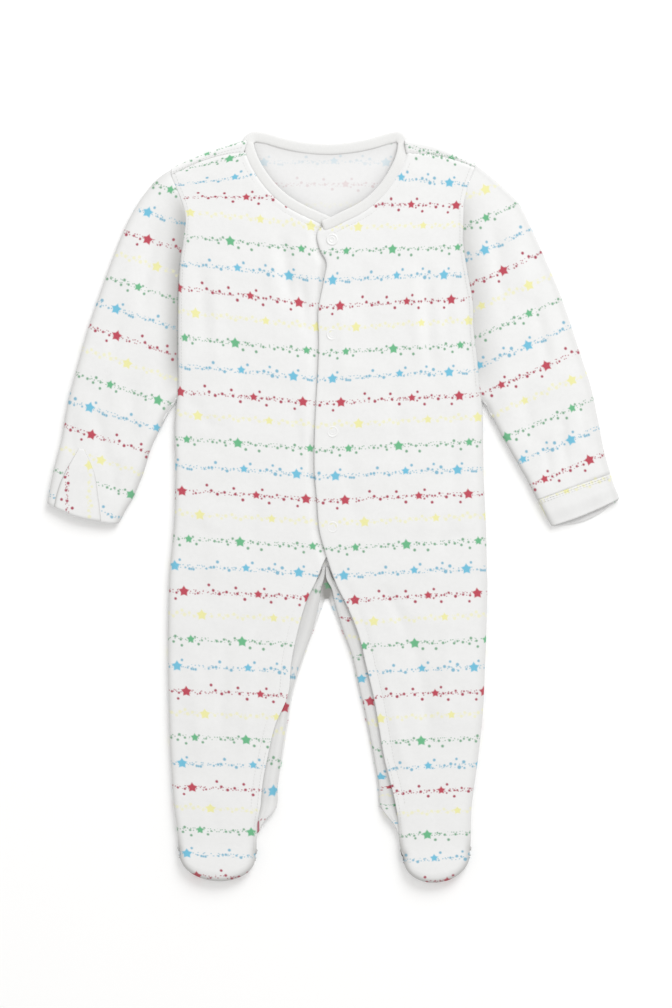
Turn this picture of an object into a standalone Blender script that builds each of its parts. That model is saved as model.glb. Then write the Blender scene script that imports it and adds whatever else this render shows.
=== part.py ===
"""A footed baby sleepsuit, laid flat on its back with its poppers shut.

Each piece that is cut and sewn is one solid: a wall of knit cloth that follows the garment's form.
The tables are in millimetres. X runs across the chest to the wearer's left, Y runs up to the neck,
and Z runs up from the surface under the back. Left and right are the wearer's.
"""
import math
from collections import namedtuple

import bmesh
import bpy

MM = 0.001                  # metres in a millimetre
CENTRE_X = -0.25            # middle of the tables' extent, moved to the origin
CENTRE_Y = 0.33

# Driving sizes, in millimetres
CLOTH = 1.8                 # wall of the knit, with its loft
TRIM = 1.4                  # wall of the folded strips and flaps
SEAM = 0.4                  # gap between two pieces at a seam
SHOULDER_GAP = 0.6          # gap between the back and the front, measured along Y
ARM_GAP = 1.0               # gap between the body's side and the sleeve's first ring
ROLL = 3.1                  # how far in from the outline an edge rolls over
SEAM_Z = 3.1                # height of the side seams, half way up the rolled edge
CROWN_RIGHT = 6.2           # height of the right front and the right sleeve
CROWN_LEFT = 6.4            # the left front laps over the right, so it lies a little higher
UNDERLAP_TOP = 4.2          # height of the right front where the left front covers it
LEG_EDGE_TOP = 5.7          # height of both fronts along the inner legs
FOOT_CROWN = 7.4            # height of the feet before the toes lift
FOOT_SEAM_Z = 3.8           # height of the seam round the foot
FOOT_ROLL = 4.0             # roll of the foot's edge
TOE_LIFT = 2.4              # how far the tip of each toe is off the surface
BINDING_WIDTH = 8.0         # neck binding, across
BINDING_THICK = 2.2
BINDING_EDGE = 0.8          # bevel of the binding's edge, across
BINDING_CLEAR = 0.35        # extra room between the binding's edge and the fronts
SNAP_RADIUS = 4.9           # ring cap of a popper
SNAP_HEIGHT = 1.3
SNAP_GAP = 0.3              # gap between a popper's cap and the cloth
MITT_GAP = 0.5              # gap between the mitt flap and the sleeve
SLEEVE_TUCK = 4.4           # height of a sleeve where the side of the body lies against it
LEG_EDGE_FLAT = 3.0         # the inner leg edge lies flat this far in
LEG_EDGE_SLOPE = 12.0       # and rises over this width
SLEEVE_SLOPE = 26.0         # a sleeve rises from the body's side over this width
CUFF_LEAN = 0.3             # how much the cuff's back leans outward for each step past the front
SOLE_EARLY = 6.0            # the sole's inner edge starts to roll this much higher up the leg
ARM_SLOPE_REACH = 93.0      # the back's rows slope with the shoulder over this length
SHOULDER_ACROSS = 60.0      # nominal width of one shoulder
ARM_LINE_RISE = 20.0        # the armhole's line is carried on this far above the shoulder
ARM_RINGS = 4.0             # rings of a sleeve that take up the armhole's curve

# Where things begin and end along Y
ARMHOLE_LOW = 215.0         # below this the side of the body rolls over fully
ARMHOLE_HIGH = 255.0        # above this the panels meet the sleeve flat
ARM_SLOPE_LOW = 200.0       # above this the back's rows slope with the shoulder
SLEEVE_TUCK_TOP = 235.0     # below this the sleeve goes down beside the body
SLEEVE_TUCK_REACH = 60.0
LEG_EDGE_Y = -30.0          # below this the inner leg edge is laid down
LEG_EDGE_REACH = 30.0
LAP_END_Y = -43.0           # below this the left front no longer covers the right
LAP_END_REACH = 14.0
FOOT_START_Y = -205.0       # below this the leg swells into the foot
FOOT_REACH = 60.0
FOOT_TOP_Y = -245.0         # the inner edge of the leg front starts to roll here
FOOT_FULL_Y = -261.0
TOE_START_Y = -272.0
TOE_END_Y = -306.0

ROLL_ANGLES = (0.0, 32.0, 62.0, 90.0)   # degrees, where a rolled edge has its rows of points
WRAP_ANGLES = (90.0, 58.0, 28.0, 0.0, -28.0, -58.0, -90.0)  # the same, over a shoulder
SHARP_ANGLE = 50.0          # degrees, above which an edge stays crisp
TOE_POINTS = 16             # points along the toe's outline
FRONT_COLUMNS, SOLE_COLUMNS, SLEEVE_COLUMNS, CUFF_COLUMNS = 7, 6, 12, 8
SNAP_SIDES = 16

Section = namedtuple("Section", "side_x side_y edge_x edge_y bow round")
Ring = namedtuple("Ring", "outer_x outer_y inner_x inner_y bow")
BackRow = namedtuple("BackRow", "right_x right_y left_x left_y")
Fold = namedtuple("Fold", "x0 y0 x1 y1 width height")
PathPoint = namedtuple("PathPoint", "x y z")
StripRow = namedtuple("StripRow", "out_x out_y in_x in_y")

# Fronts, from the shoulder seam to the toe: side seam, then neck, lap and inner leg edge.
# bow lifts the middle of a section, round turns it from a chord into a half ellipse.
FRONT_RIGHT = [Section(*row) for row in (
    (-132.5, 272.0, -74.0, 289.5, 4.1, 0),
    (-126.0, 256.0, -70.5, 281.0, 2.5, 0),
    (-123.5, 249.0, -64.5, 270.0, 1.8, 0),
    (-122.0, 242.5, -57.0, 260.0, 1.2, 0),
    (-122.0, 233.0, -49.0, 251.5, 0.6, 0),
    (-123.0, 223.5, -40.0, 244.5, 0, 0),
    (-123.5, 219.0, -27.5, 236.0, -0.5, 0),
    (-124.0, 214.5, -14.5, 229.5, -1, 0),
    (-125.5, 204.5, 9.0, 220.0, -1.6, 0),
    (-127.0, 180.0, 9.5, 199.0, -1.6, 0),
    (-127.5, 152.0, 9.5, 166.0, -1.6, 0),
    (-127.5, 125.0, 9.5, 133.0, -1.6, 0),
    (-127.5, 98.0, 9.5, 100.5, -1.6, 0),
    (-130.0, 70.0, 9.5, 70.0, -1.6, 0),
    (-129.5, 26.5, 9.5, 29.0, -1.6, 0),
    (-131.0, -21.0, 8.0, -12.0, -1, 0),
    (-133.0, -40.5, 2.0, -29.5, 0, 0),
    (-134.5, -55.5, -7.0, -42.5, 0, 0),
    (-135.0, -73.5, -14.0, -59.5, 0, 0),
    (-135.5, -94.0, -22.5, -77.5, 0, 0),
    (-135.5, -113.0, -29.5, -102.0, 0, 0),
    (-135.5, -133.0, -34.5, -126.0, 0, 0),
    (-135.0, -158.0, -37.5, -154.0, 0, 0),
    (-134.5, -180.0, -48.0, -179.0, 0, 0),
    (-133.5, -203.0, -53.5, -202.0, 0, 0),
    (-132.0, -227.5, -58.0, -225.0, 0, 0),
    (-130.5, -246.5, -60.0, -245.0, 0, 0),
    (-128.5, -261.0, -62.5, -261.0, 0, 0),
    (-127.5, -271.0, -63.0, -272.5, -4.9, 0.5),
    (-127.0, -277.0, -63.0, -279.0, -11.5, 0.9),
    (-126.0, -284.0, -64.0, -286.5, -20.5, 1),
)]
FRONT_LEFT = [Section(*row) for row in (
    (115.5, 278.5, 60.0, 289.5, 3.3, 0),
    (110.0, 264.5, 56.5, 278.0, 2.5, 0),
    (108.0, 257.0, 51.5, 267.0, 1.8, 0),
    (106.5, 249.5, 44.5, 255.5, 1.2, 0),
    (106.5, 239.0, 36.0, 247.0, 0.6, 0),
    (106.5, 229.0, 26.5, 240.5, 0, 0),
    (106.5, 223.0, 12.0, 232.0, -0.5, 0),
    (106.5, 217.5, -3.0, 226.0, -1, 0),
    (107.5, 208.0, -12.5, 224.5, -1.6, 0),
    (109.0, 198.0, -11.0, 211.0, -1.6, 0),
    (111.0, 186.5, -6.0, 201.5, -1.6, 0),
    (114.0, 170.0, -8.0, 185.5, -1.6, 0),
    (115.0, 144.5, -12.5, 159.5, -1.6, 0),
    (117.5, 123.5, -12.0, 137.5, -1.6, 0),
    (119.5, 100.5, -12.5, 116.0, -1.6, 0),
    (122.0, 80.0, -14.0, 90.0, -1.6, 0),
    (122.5, 51.0, -15.5, 55.5, -1.6, 0),
    (123.0, 24.0, -15.5, 28.5, -1.6, 0),
    (124.0, 2.0, -13.5, 4.5, -1, 0),
    (125.0, -21.0, -11.5, -18.5, 0, 0),
    (125.5, -44.5, -6.0, -39.0, 0, 0),
    (126.0, -67.5, 2.0, -62.0, 0, 0),
    (125.5, -88.0, 12.0, -82.5, 0, 0),
    (125.0, -108.5, 21.0, -105.5, 0, 0),
    (124.0, -131.5, 26.5, -128.5, 0, 0),
    (123.0, -158.0, 33.0, -155.5, 0, 0),
    (121.0, -182.5, 37.5, -181.0, 0, 0),
    (118.0, -208.5, 42.0, -207.0, 0, 0),
    (115.0, -230.0, 47.0, -226.5, 0, 0),
    (113.0, -246.0, 51.0, -243.0, 0, 0),
    (112.5, -261.0, 53.0, -261.0, 0, 0),
    (112.5, -271.0, 54.0, -274.5, -6.6, 0.5),
    (112.0, -277.0, 55.5, -281.0, -12.3, 0.9),
    (111.5, -284.0, 57.5, -288.0, -21.0, 1),
)]

# Back, from the neck to the heels: the two middle columns, which become the inner legs.
# Its sides are those of the fronts.
BACK = [BackRow(*row) for row in (
    (-74.4, 293.0, 61.6, 293.0),
    (-72.5, 284.0, 59.5, 284.0),
    (-71.0, 274.0, 58.0, 274.0),
    (-69.5, 262.0, 56.5, 262.0),
    (-67.5, 248.0, 54.0, 248.0),
    (-63.5, 226.0, 51.0, 226.0),
    (-58.5, 186.5, 47.0, 186.5),
    (-52.0, 145.5, 42.0, 145.5),
    (-44.0, 101.5, 33.0, 101.5),
    (-35.5, 67.5, 25.0, 67.5),
    (-26.0, 26.5, 15.0, 26.5),
    (-13.5, -18.5, 3.0, -18.5),
    (-8.5, -51.0, -2.5, -51.0),
    (-7.5, -74.5, -3.5, -74.5),
    (-16.0, -99.0, 6.5, -99.0),
    (-24.0, -121.0, 14.5, -121.0),
    (-33.0, -149.5, 21.0, -149.5),
    (-38.0, -177.5, 27.5, -177.5),
    (-42.5, -207.0, 33.0, -207.0),
    (-46.0, -228.5, 36.5, -228.5),
    (-47.0, -245.4, 37.5, -245.4),
)]
ARM_SLOPE = 22.0            # how far the back's top row falls from the neck to the armhole
CROTCH_ROW = 13             # the row of BACK where the legs part
# Back neckline, just under the binding, from the right shoulder to the left, as (x, y).
BACK_NECK = ((-74.4, 293.0), (-64.0, 295.4), (-54.0, 296.7), (-38.0, 292.7), (-21.0, 289.8),
             (-4.5, 288.7), (12.0, 289.8), (27.0, 292.5), (41.0, 296.0), (51.5, 295.6),
             (61.6, 293.0))

# Outline of each shoulder, where the back rolls over to the front: armhole end, neck end, bow.
SHOULDER_RIGHT = Section(-132.5, 278.0, -74.4, 300.2, 1.8, 0)
SHOULDER_LEFT = Section(115.3, 282.5, 61.6, 300.4, 3.6, 0)

# Soles, from the heel seam to the toe. The heel stands out past the leg front's edge.
SOLE_RIGHT = [Section(*row) for row in (
    (-130.5, -245.9, -48.5, -245.9, 0, 0),
    (-129.5, -251.5, -52.0, -251.0, 0, 0),
    (-129.0, -258.0, -58.0, -258.0, 0, 0),
    (-128.0, -267.5, -62.5, -267.5, 0, 0),
    (-127.5, -274.5, -63.0, -276.0, -8.5, 0.6),
    (-126.0, -284.0, -64.0, -286.5, -20.5, 1),
)]
SOLE_LEFT = [Section(*row) for row in (
    (113.0, -245.9, 38.5, -245.9, 0, 0),
    (113.0, -251.5, 43.0, -251.5, 0, 0),
    (112.5, -258.0, 49.5, -258.5, 0, 0),
    (112.5, -267.5, 53.5, -267.5, 0, 0),
    (112.5, -274.5, 54.5, -277.0, -10.0, 0.6),
    (111.5, -284.0, 57.5, -288.0, -21.0, 1),
)]

# Sleeves, from the armhole to the cuff: the shoulder side, then the underarm side.
SLEEVE_RIGHT = [Ring(*row) for row in (
    (-133.1, 277.0, -128.6, 90.0, 0),
    (-143.0, 270.5, -132.0, 85.0, 0),
    (-155.5, 256.0, -137.5, 76.0, 0),
    (-167.0, 237.0, -143.0, 62.5, 0),
    (-180.0, 206.5, -148.5, 50.5, 0),
    (-191.0, 176.0, -152.0, 40.0, 0),
    (-201.0, 147.0, -155.0, 30.0, 0),
    (-210.0, 115.0, -158.5, 21.0, 0),
    (-217.5, 86.5, -161.5, 13.5, 0),
    (-222.5, 57.0, -165.0, 6.0, 1.6),
    (-229.0, 31.5, -169.5, -1.0, -1),
    (-232.0, 17.5, -172.5, -7.0, -2.5),
    (-234.5, 3.5, -176.0, -13.0, -4.1),
)]
SLEEVE_LEFT = [Ring(*row) for row in (
    (116.1, 281.5, 120.6, 90.0, 0),
    (125.0, 274.5, 126.0, 84.0, 0),
    (137.5, 263.5, 130.0, 75.0, 0),
    (150.5, 250.5, 134.0, 66.0, 0),
    (163.0, 226.5, 138.0, 58.0, 0),
    (174.0, 202.0, 142.5, 50.5, 0),
    (185.0, 176.0, 146.5, 43.0, 0),
    (193.5, 152.0, 150.5, 36.5, 0),
    (202.0, 126.0, 154.0, 30.0, 0),
    (210.0, 101.5, 158.0, 23.5, 0),
    (216.5, 72.0, 161.5, 16.0, 0),
    (222.0, 44.5, 165.0, 9.5, 0),
    (226.5, 28.0, 166.5, 6.5, 0),
)]
CUFF_LEFT = [Ring(*row) for row in (
    (226.6, 27.6, 166.8, 6.1, 0),
    (230.0, 17.5, 172.5, -4.5, -0.8),
    (232.5, 11.5, 176.0, -11.0, -1.2),
    (234.0, 7.5, 178.5, -15.0, -1.6),
)]
CUFF_BACK_REACH = 4.5       # how far the back of the cuff shows past its front

# Middle line of the neck binding: lower end, right neck, back neck, left neck, upper end.
NECK_PATH = [PathPoint(*row) for row in (
    (8.0, 228.0, 3.3),
    (-2.0, 233.0, 3.3),
    (-13.5, 238.0, 3.4),
    (-25.5, 243.5, 4.7),
    (-39.0, 251.5, 5.0),
    (-51.5, 263.0, 5.0),
    (-61.0, 276.0, 5.0),
    (-66.5, 286.5, 4.6),
    (-69.0, 294.0, 3.7),
    (-69.5, 300.0, 2.6),
    (-65.5, 303.5, 1.7),
    (-58.5, 303.0, 1.3),
    (-44.0, 299.0, 1.3),
    (-25.0, 295.0, 1.3),
    (-4.5, 293.5, 1.3),
    (15.0, 295.0, 1.3),
    (32.5, 298.5, 1.3),
    (46.5, 302.5, 1.3),
    (53.0, 303.5, 1.7),
    (56.7, 300.0, 2.6),
    (56.5, 293.0, 3.7),
    (54.5, 285.0, 4.8),
    (49.0, 273.5, 5.2),
    (40.5, 261.0, 5.2),
    (30.5, 251.0, 5.2),
    (19.5, 243.5, 5.5),
    (8.0, 238.0, 5.8),
    (-2.0, 233.0, 5.8),
    (-9.0, 230.5, 5.8),
)]

# Popper strips inside the legs: the edge under the front, then the free edge.
LEG_STRIP_RIGHT = [StripRow(*row) for row in (
    (-8.8, -49.0, -7.0, -49.0),
    (-11.5, -56.5, -8.0, -57.5),
    (-19.0, -65.0, -10.5, -66.0),
    (-27.5, -81.0, -12.0, -77.0),
    (-34.0, -99.0, -17.0, -99.0),
    (-40.5, -120.0, -25.0, -121.0),
    (-45.0, -148.0, -34.0, -149.0),
    (-50.5, -177.0, -39.0, -177.5),
    (-57.5, -206.5, -43.5, -207.0),
    (-61.0, -228.0, -47.0, -228.5),
    (-62.5, -244.5, -48.0, -244.5),
)]
LEG_STRIP_LEFT = [StripRow(*row) for row in (
    (-4.2, -49.0, -6.2, -49.0),
    (-1.5, -57.0, -5.8, -57.5),
    (8.0, -67.0, -1.5, -66.0),
    (18.5, -82.0, 1.0, -77.0),
    (26.5, -102.0, 7.5, -99.0),
    (32.0, -123.0, 15.5, -121.0),
    (37.5, -150.0, 22.0, -149.5),
    (42.5, -178.5, 28.5, -177.5),
    (47.0, -207.5, 34.0, -207.0),
    (51.0, -229.0, 37.5, -228.5),
    (54.0, -244.5, 38.5, -244.5),
)]

# Scratch mitt folded back over the right cuff: a pointed flap, from its tip to the mouth.
MITT_RIGHT = [StripRow(*row) for row in (
    (-208.5, 48.0, -204.0, 47.5),
    (-214.0, 39.0, -199.5, 38.0),
    (-219.0, 30.0, -195.5, 27.5),
    (-223.5, 20.0, -193.5, 16.5),
    (-225.5, 14.0, -192.5, 8.5),
    (-227.0, 8.5, -191.5, 1.5),
    (-228.0, 3.5, -190.8, -4.5),
    (-228.3, 1.5, -190.5, -7.5),
)]

SNAPS = ((-1.2, 219.3), (-1.2, 141.5), (-0.8, 62.0), (-0.8, -16.0))   # centres, down the placket

# The largest folds: a line, how wide the fold is and how far it rises or sinks.
FOLDS_FRONT = [Fold(*row) for row in (
    (-38.0, 238.0, -27.0, 150.0, 13.0, -1.1),
    (-27.0, 150.0, -31.0, 70.0, 12.0, -0.5),
    (-78.0, 235.0, -62.0, 120.0, 20.0, 0.7),
    (-112.0, 190.0, -104.0, 90.0, 15.0, -0.6),
    (72.0, 215.0, 79.0, 90.0, 14.0, -0.8),
    (98.0, 205.0, 104.0, 110.0, 13.0, 0.6),
    (45.0, 205.0, 38.0, 130.0, 18.0, 0.6),
    (-92.0, -70.0, -98.0, -190.0, 16.0, 0.7),
    (-58.0, -105.0, -72.0, -200.0, 13.0, -0.6),
    (60.0, -80.0, 76.0, -185.0, 16.0, -0.6),
    (98.0, -60.0, 93.0, -170.0, 15.0, 0.6),
)]
FOLDS_SLEEVES = [Fold(*row) for row in (
    (-140.0, 235.0, -152.0, 120.0, 13.0, -0.9),
    (-172.0, 150.0, -166.0, 60.0, 12.0, 0.7),
    (-212.0, 62.0, -214.0, 34.0, 7.0, -0.6),
    (132.0, 225.0, 140.0, 110.0, 13.0, -0.8),
    (170.0, 165.0, 168.0, 75.0, 12.0, 0.7),
    (181.0, 62.0, 186.0, 25.0, 8.0, -0.8),
)]


def ease(t):
    """0 below 0, 1 above 1, and a smooth rise between."""
    t = min(1.0, max(0.0, t))
    return t * t * (3.0 - 2.0 * t)


def mix(a, b, t):
    return a + (b - a) * t


def at_height(points, y):
    """X of a line given as (y, x) points from top to bottom, at one height."""
    if y >= points[0][0]:
        return points[0][1]
    for (y0, x0), (y1, x1) in zip(points, points[1:]):
        if y >= y1:
            return mix(x0, x1, (y0 - y) / (y0 - y1))
    return points[-1][1]


def curve_through(points, steps):
    """Smooth curve through the points, as tuples, with a number of steps to each span."""
    curve = []
    last = len(points) - 1
    for i in range(last):
        p0, p1 = points[max(i - 1, 0)], points[i]
        p2, p3 = points[i + 1], points[min(i + 2, last)]
        for k in range(steps):
            t = k / steps
            curve.append(tuple(
                0.5 * (2 * b + (c - a) * t + (2 * a - 5 * b + 4 * c - d) * t * t
                       + (3 * b - a - 3 * c + d) * t ** 3)
                for a, b, c, d in zip(p0, p1, p2, p3)))
    curve.append(tuple(points[last]))
    return curve


def nearest(line, x, y):
    """Distance to a line of (x, y, ...) points, the way out from it, and its other values there."""
    best = None
    for p, q in zip(line, line[1:]):
        dx, dy = q[0] - p[0], q[1] - p[1]
        length2 = dx * dx + dy * dy or 1e-9
        t = min(1.0, max(0.0, ((x - p[0]) * dx + (y - p[1]) * dy) / length2))
        ox, oy = x - p[0] - dx * t, y - p[1] - dy * t
        distance = math.hypot(ox, oy)
        if best is None or distance < best[0]:
            length = math.sqrt(length2)
            extra = [mix(a, b, t) for a, b in zip(p[2:], q[2:])]
            best = (distance, dy / length, -dx / length, extra)
    return best


def fold_height(folds, x, y):
    """How far the folds lift or lower the cloth at a point."""
    height = 0.0
    for fold in folds:
        dx, dy = fold.x1 - fold.x0, fold.y1 - fold.y0
        t = ((x - fold.x0) * dx + (y - fold.y0) * dy) / (dx * dx + dy * dy)
        ends = ease(t / 0.3) * ease((1.0 - t) / 0.3)
        away = abs((x - fold.x0) * dy - (y - fold.y0) * dx) / math.hypot(dx, dy)
        height += fold.height * ends * ease(1.0 - away / fold.width)
    return height


def toe_lift(y):
    return TOE_LIFT * ease((TOE_START_Y - y) / (TOE_START_Y - TOE_END_Y))


def footness(y):
    """0 on the leg, 1 on the foot."""
    return ease((FOOT_START_Y - y) / FOOT_REACH)


def crown_height(y, crown):
    return mix(crown, FOOT_CROWN, footness(y)) + toe_lift(y)


def seam_height(y):
    return mix(SEAM_Z, FOOT_SEAM_Z, footness(y)) + toe_lift(y)


def roll_width(y):
    return mix(ROLL, FOOT_ROLL, footness(y))


def side_roll(y):
    """How far the side of the body rolls over: not at all along the armhole's top."""
    return ease((ARMHOLE_HIGH - y) / (ARMHOLE_HIGH - ARMHOLE_LOW))


def rolled(outline, x, y, crown, seam, width):
    """Height and outward normal on a panel whose outline rolls over from crown to seam."""
    distance, out_x, out_y, (roll,) = nearest(outline, x, y)
    low = mix(crown, seam, roll)
    cos_angle = max(0.0, 1.0 - distance / width)
    sin_angle = math.sqrt(1.0 - cos_angle * cos_angle)
    rise = abs(crown - low)
    flat = (1.0 - roll) * width
    nx, nz = rise * cos_angle, width * sin_angle + flat
    length = math.hypot(nx, nz)
    sign = 1.0 if crown >= seam else -1.0
    height = mix(low, crown, sin_angle)
    return height, (out_x * nx / length, out_y * nx / length, sign * nz / length)


def section_point(row, w):
    """Point part of the way from a section's side to its edge."""
    along = mix(w, 0.5 - 0.5 * math.cos(math.pi * w), row.round)
    return (mix(row.side_x, row.edge_x, along),
            mix(row.side_y, row.edge_y, along) + row.bow * math.sin(math.pi * w))


def roll_offsets(width):
    return [width * (1.0 - math.cos(math.radians(angle))) for angle in ROLL_ANGLES]


def edge_fractions(length, width, middle, marks=()):
    """Fractions along a section: close together in the two rolled edges, even between.

    Marks are distances from the far edge, nearest first, that get a column of their own."""
    near = [offset / length for offset in roll_offsets(width)]
    far = [1.0 - mark / length for mark in reversed(marks)] + [1.0 - f for f in reversed(near)]
    between = [mix(near[-1], far[0], k / middle) for k in range(1, middle)]
    return near + between + far


def toe_rows(table):
    """The table's sections, with the last one repeated inwards where the toe's edge rolls over."""
    last = table[-1]
    rows = list(table[:-1])
    for offset in reversed(roll_offsets(FOOT_ROLL)):
        rows.append(last._replace(side_y=last.side_y + offset, edge_y=last.edge_y + offset))
    return rows


def foot_outline(table, side_roll_of, edge_roll_of):
    """Outline of a front or a sole, anticlockwise, with how far it rolls over at each point."""
    side = [(row.side_x, row.side_y, side_roll_of(row.side_y)) for row in table]
    edge = [(row.edge_x, row.edge_y, edge_roll_of(row.edge_y)) for row in table]
    toe = [section_point(table[-1], k / TOE_POINTS) + (1.0,) for k in range(1, TOE_POINTS)]
    outline = side + toe + edge[::-1]
    return outline if table[0].side_x < table[0].edge_x else outline[::-1]


def moved(point, normal, distance):
    return tuple(p + n * distance for p, n in zip(point, normal))


def make_object(name, vertices, faces, material):
    """One named object from points in millimetres."""
    mesh = bpy.data.meshes.new(name)
    placed = [((x - CENTRE_X) * MM, (y - CENTRE_Y) * MM, z * MM) for x, y, z in vertices]
    mesh.from_pydata(placed, [], faces)
    shell = bmesh.new()
    shell.from_mesh(mesh)
    bmesh.ops.recalc_face_normals(shell, faces=shell.faces)
    shell.to_mesh(mesh)
    shell.free()
    mesh.materials.append(material)
    mesh.shade_smooth()
    mesh.set_sharp_from_angle(angle=math.radians(SHARP_ANGLE))
    piece = bpy.data.objects.new(name, mesh)
    bpy.context.collection.objects.link(piece)
    return piece


def cloth_wall(name, outer, inner, material, loop=False, keep=None):
    """Close a wall of cloth between two grids of points, with a rim round every open edge."""
    rows, columns = len(outer), len(outer[0])
    used = {}
    vertices = []

    def index(layer, r, c):
        key = (layer, r, c % columns if loop else c)
        if key not in used:
            used[key] = len(vertices)
            vertices.append((outer if layer == 0 else inner)[key[1]][key[2]])
        return used[key]

    def present(r, c):
        if loop:
            c %= columns
        inside = 0 <= r < rows - 1 and 0 <= c < (columns if loop else columns - 1)
        return inside and (keep is None or keep(r, c))

    faces = []
    for r in range(rows - 1):
        for c in range(columns if loop else columns - 1):
            if not present(r, c):
                continue
            ring = ((r, c), (r, c + 1), (r + 1, c + 1), (r + 1, c))
            faces.append([index(0, *corner) for corner in ring])
            faces.append([index(1, *corner) for corner in reversed(ring)])
            neighbours = ((r - 1, c), (r, c + 1), (r + 1, c), (r, c - 1))
            for side, neighbour in enumerate(neighbours):
                if not present(*neighbour):
                    a, b = ring[side], ring[(side + 1) % 4]
                    faces.append([index(0, *b), index(0, *a), index(1, *a), index(1, *b)])
    return make_object(name, vertices, faces, material)


def front_edge_drop(table, underlap):
    """Height of a front's top from its height before the edges are laid down."""
    edge = [(row.edge_x, row.edge_y) for row in table]

    def lowered(x, y, height):
        if underlap:
            under = ease((at_height(LAP_X, y) - LAP_TUCK - x) / LAP_SLOPE)
            shown = ease((LAP_END_Y - y) / LAP_END_REACH)
            height = mix(UNDERLAP_TOP, height, max(under, shown))
        leg = ease((LEG_EDGE_Y - y) / LEG_EDGE_REACH) * (1.0 - footness(y))
        if leg > 0.0:
            distance = nearest(edge, x, y)[0]
            rise = ease((distance - LEG_EDGE_FLAT) / LEG_EDGE_SLOPE)
            laid = min(height, mix(LEG_EDGE_TOP, height, rise))
            height = mix(height, laid, leg)
        return height

    return lowered


LAP_X = [(row.edge_y, row.edge_x) for row in FRONT_LEFT[8:22]]
LAP_TUCK = 3.5              # the right front is already down this far before the lap's edge
LAP_SLOPE = 11.0            # and goes down over this width


def foot_roll(y):
    return ease((FOOT_TOP_Y - y) / (FOOT_TOP_Y - FOOT_FULL_Y))


def clear_of_binding(row):
    """Move a section's neck end until it is a seam's gap outside the neck binding."""
    reach = BINDING_WIDTH / 2 + SEAM + BINDING_CLEAR
    distance, _, _, _ = nearest(NECK_LINE, row.edge_x, row.edge_y)
    if distance > 3 * reach:
        return row
    span = math.hypot(row.side_x - row.edge_x, row.side_y - row.edge_y)
    step_x, step_y = (row.side_x - row.edge_x) / span, (row.side_y - row.edge_y) / span
    x, y = row.edge_x - step_x * 4.0, row.edge_y - step_y * 4.0
    while nearest(NECK_LINE, x, y)[0] < reach:
        x, y = x + step_x * 0.1, y + step_y * 0.1
    return row._replace(edge_x=x, edge_y=y)


NECK_STEPS = 3
NECK_CURVE = curve_through(NECK_PATH, NECK_STEPS)
NECK_LINE = [(x, y) for x, y, _ in NECK_CURVE]


def build_front(name, table, crown, neck_rows, underlap, material):
    rows = [clear_of_binding(row) for row in table[:neck_rows]] + list(table[neck_rows:])
    outline = foot_outline(rows, side_roll, foot_roll)
    lowered = front_edge_drop(rows, underlap)
    outer, inner = [], []
    for row in toe_rows(rows):
        length = math.hypot(row.edge_x - row.side_x, row.edge_y - row.side_y)
        covered = row.edge_x - at_height(LAP_X, row.edge_y) + LAP_TUCK if underlap else 0.0
        down = max(LAP_TUCK + 1.0, covered)
        marks = (down, down + LAP_SLOPE / 2, down + LAP_SLOPE)
        outer_row, inner_row = [], []
        for w in edge_fractions(length, roll_width(row.side_y), FRONT_COLUMNS, marks):
            x, y = section_point(row, w)
            top = crown_height(y, crown) + fold_height(FOLDS_FRONT, x, y) * (1 - footness(y))
            height, normal = rolled(outline, x, y, top, seam_height(y) + SEAM / 2, roll_width(y))
            height = lowered(x, y, height)
            outer_row.append((x, y, height))
            inner_row.append(moved((x, y, height), normal, -CLOTH))
        outer.append(outer_row)
        inner.append(inner_row)
    return cloth_wall(name, outer, inner, material)


def build_sole(name, table, material):
    outline = foot_outline(table, lambda y: 1.0, lambda y: foot_roll(y + SOLE_EARLY))
    outer, inner = [], []
    for row in toe_rows(table):
        length = math.hypot(row.edge_x - row.side_x, row.edge_y - row.side_y)
        outer_row, inner_row = [], []
        for w in edge_fractions(length, FOOT_ROLL, SOLE_COLUMNS):
            x, y = section_point(row, w)
            height, normal = rolled(outline, x, y, toe_lift(y), seam_height(y) - SEAM / 2,
                                    roll_width(y))
            outer_row.append((x, y, height))
            inner_row.append(moved((x, y, height), normal, -CLOTH))
        outer.append(outer_row)
        inner.append(inner_row)
    return cloth_wall(name, outer, inner, material)


def shoulder_rows(shoulder, seam_row, crown):
    """Rows of a shoulder wrap, from the seam on the front, round the top edge, to the back.

    Each row is a function of the fraction from the armhole to the neck, giving a point and
    its normal."""
    half = crown / 2

    def seam_end(w):
        x, y = section_point(seam_row, w)
        return (x, y + SHOULDER_GAP, crown), (0.0, 0.0, 1.0)

    def around(angle):
        def point(w):
            x, y = section_point(shoulder, w)
            c, s = math.cos(math.radians(angle)), math.sin(math.radians(angle))
            return (x, y - ROLL * (1.0 - c), half + half * s), (0.0, c, s)
        return point

    return [seam_end] + [around(angle) for angle in WRAP_ANGLES]


def armhole_line(table):
    """Side of the body, as (y, x), continued straight up the shoulder's end."""
    top = table[0]
    return [(top.side_y + ARM_LINE_RISE, top.side_x)] + [(row.side_y, row.side_x) for row in table]


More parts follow.
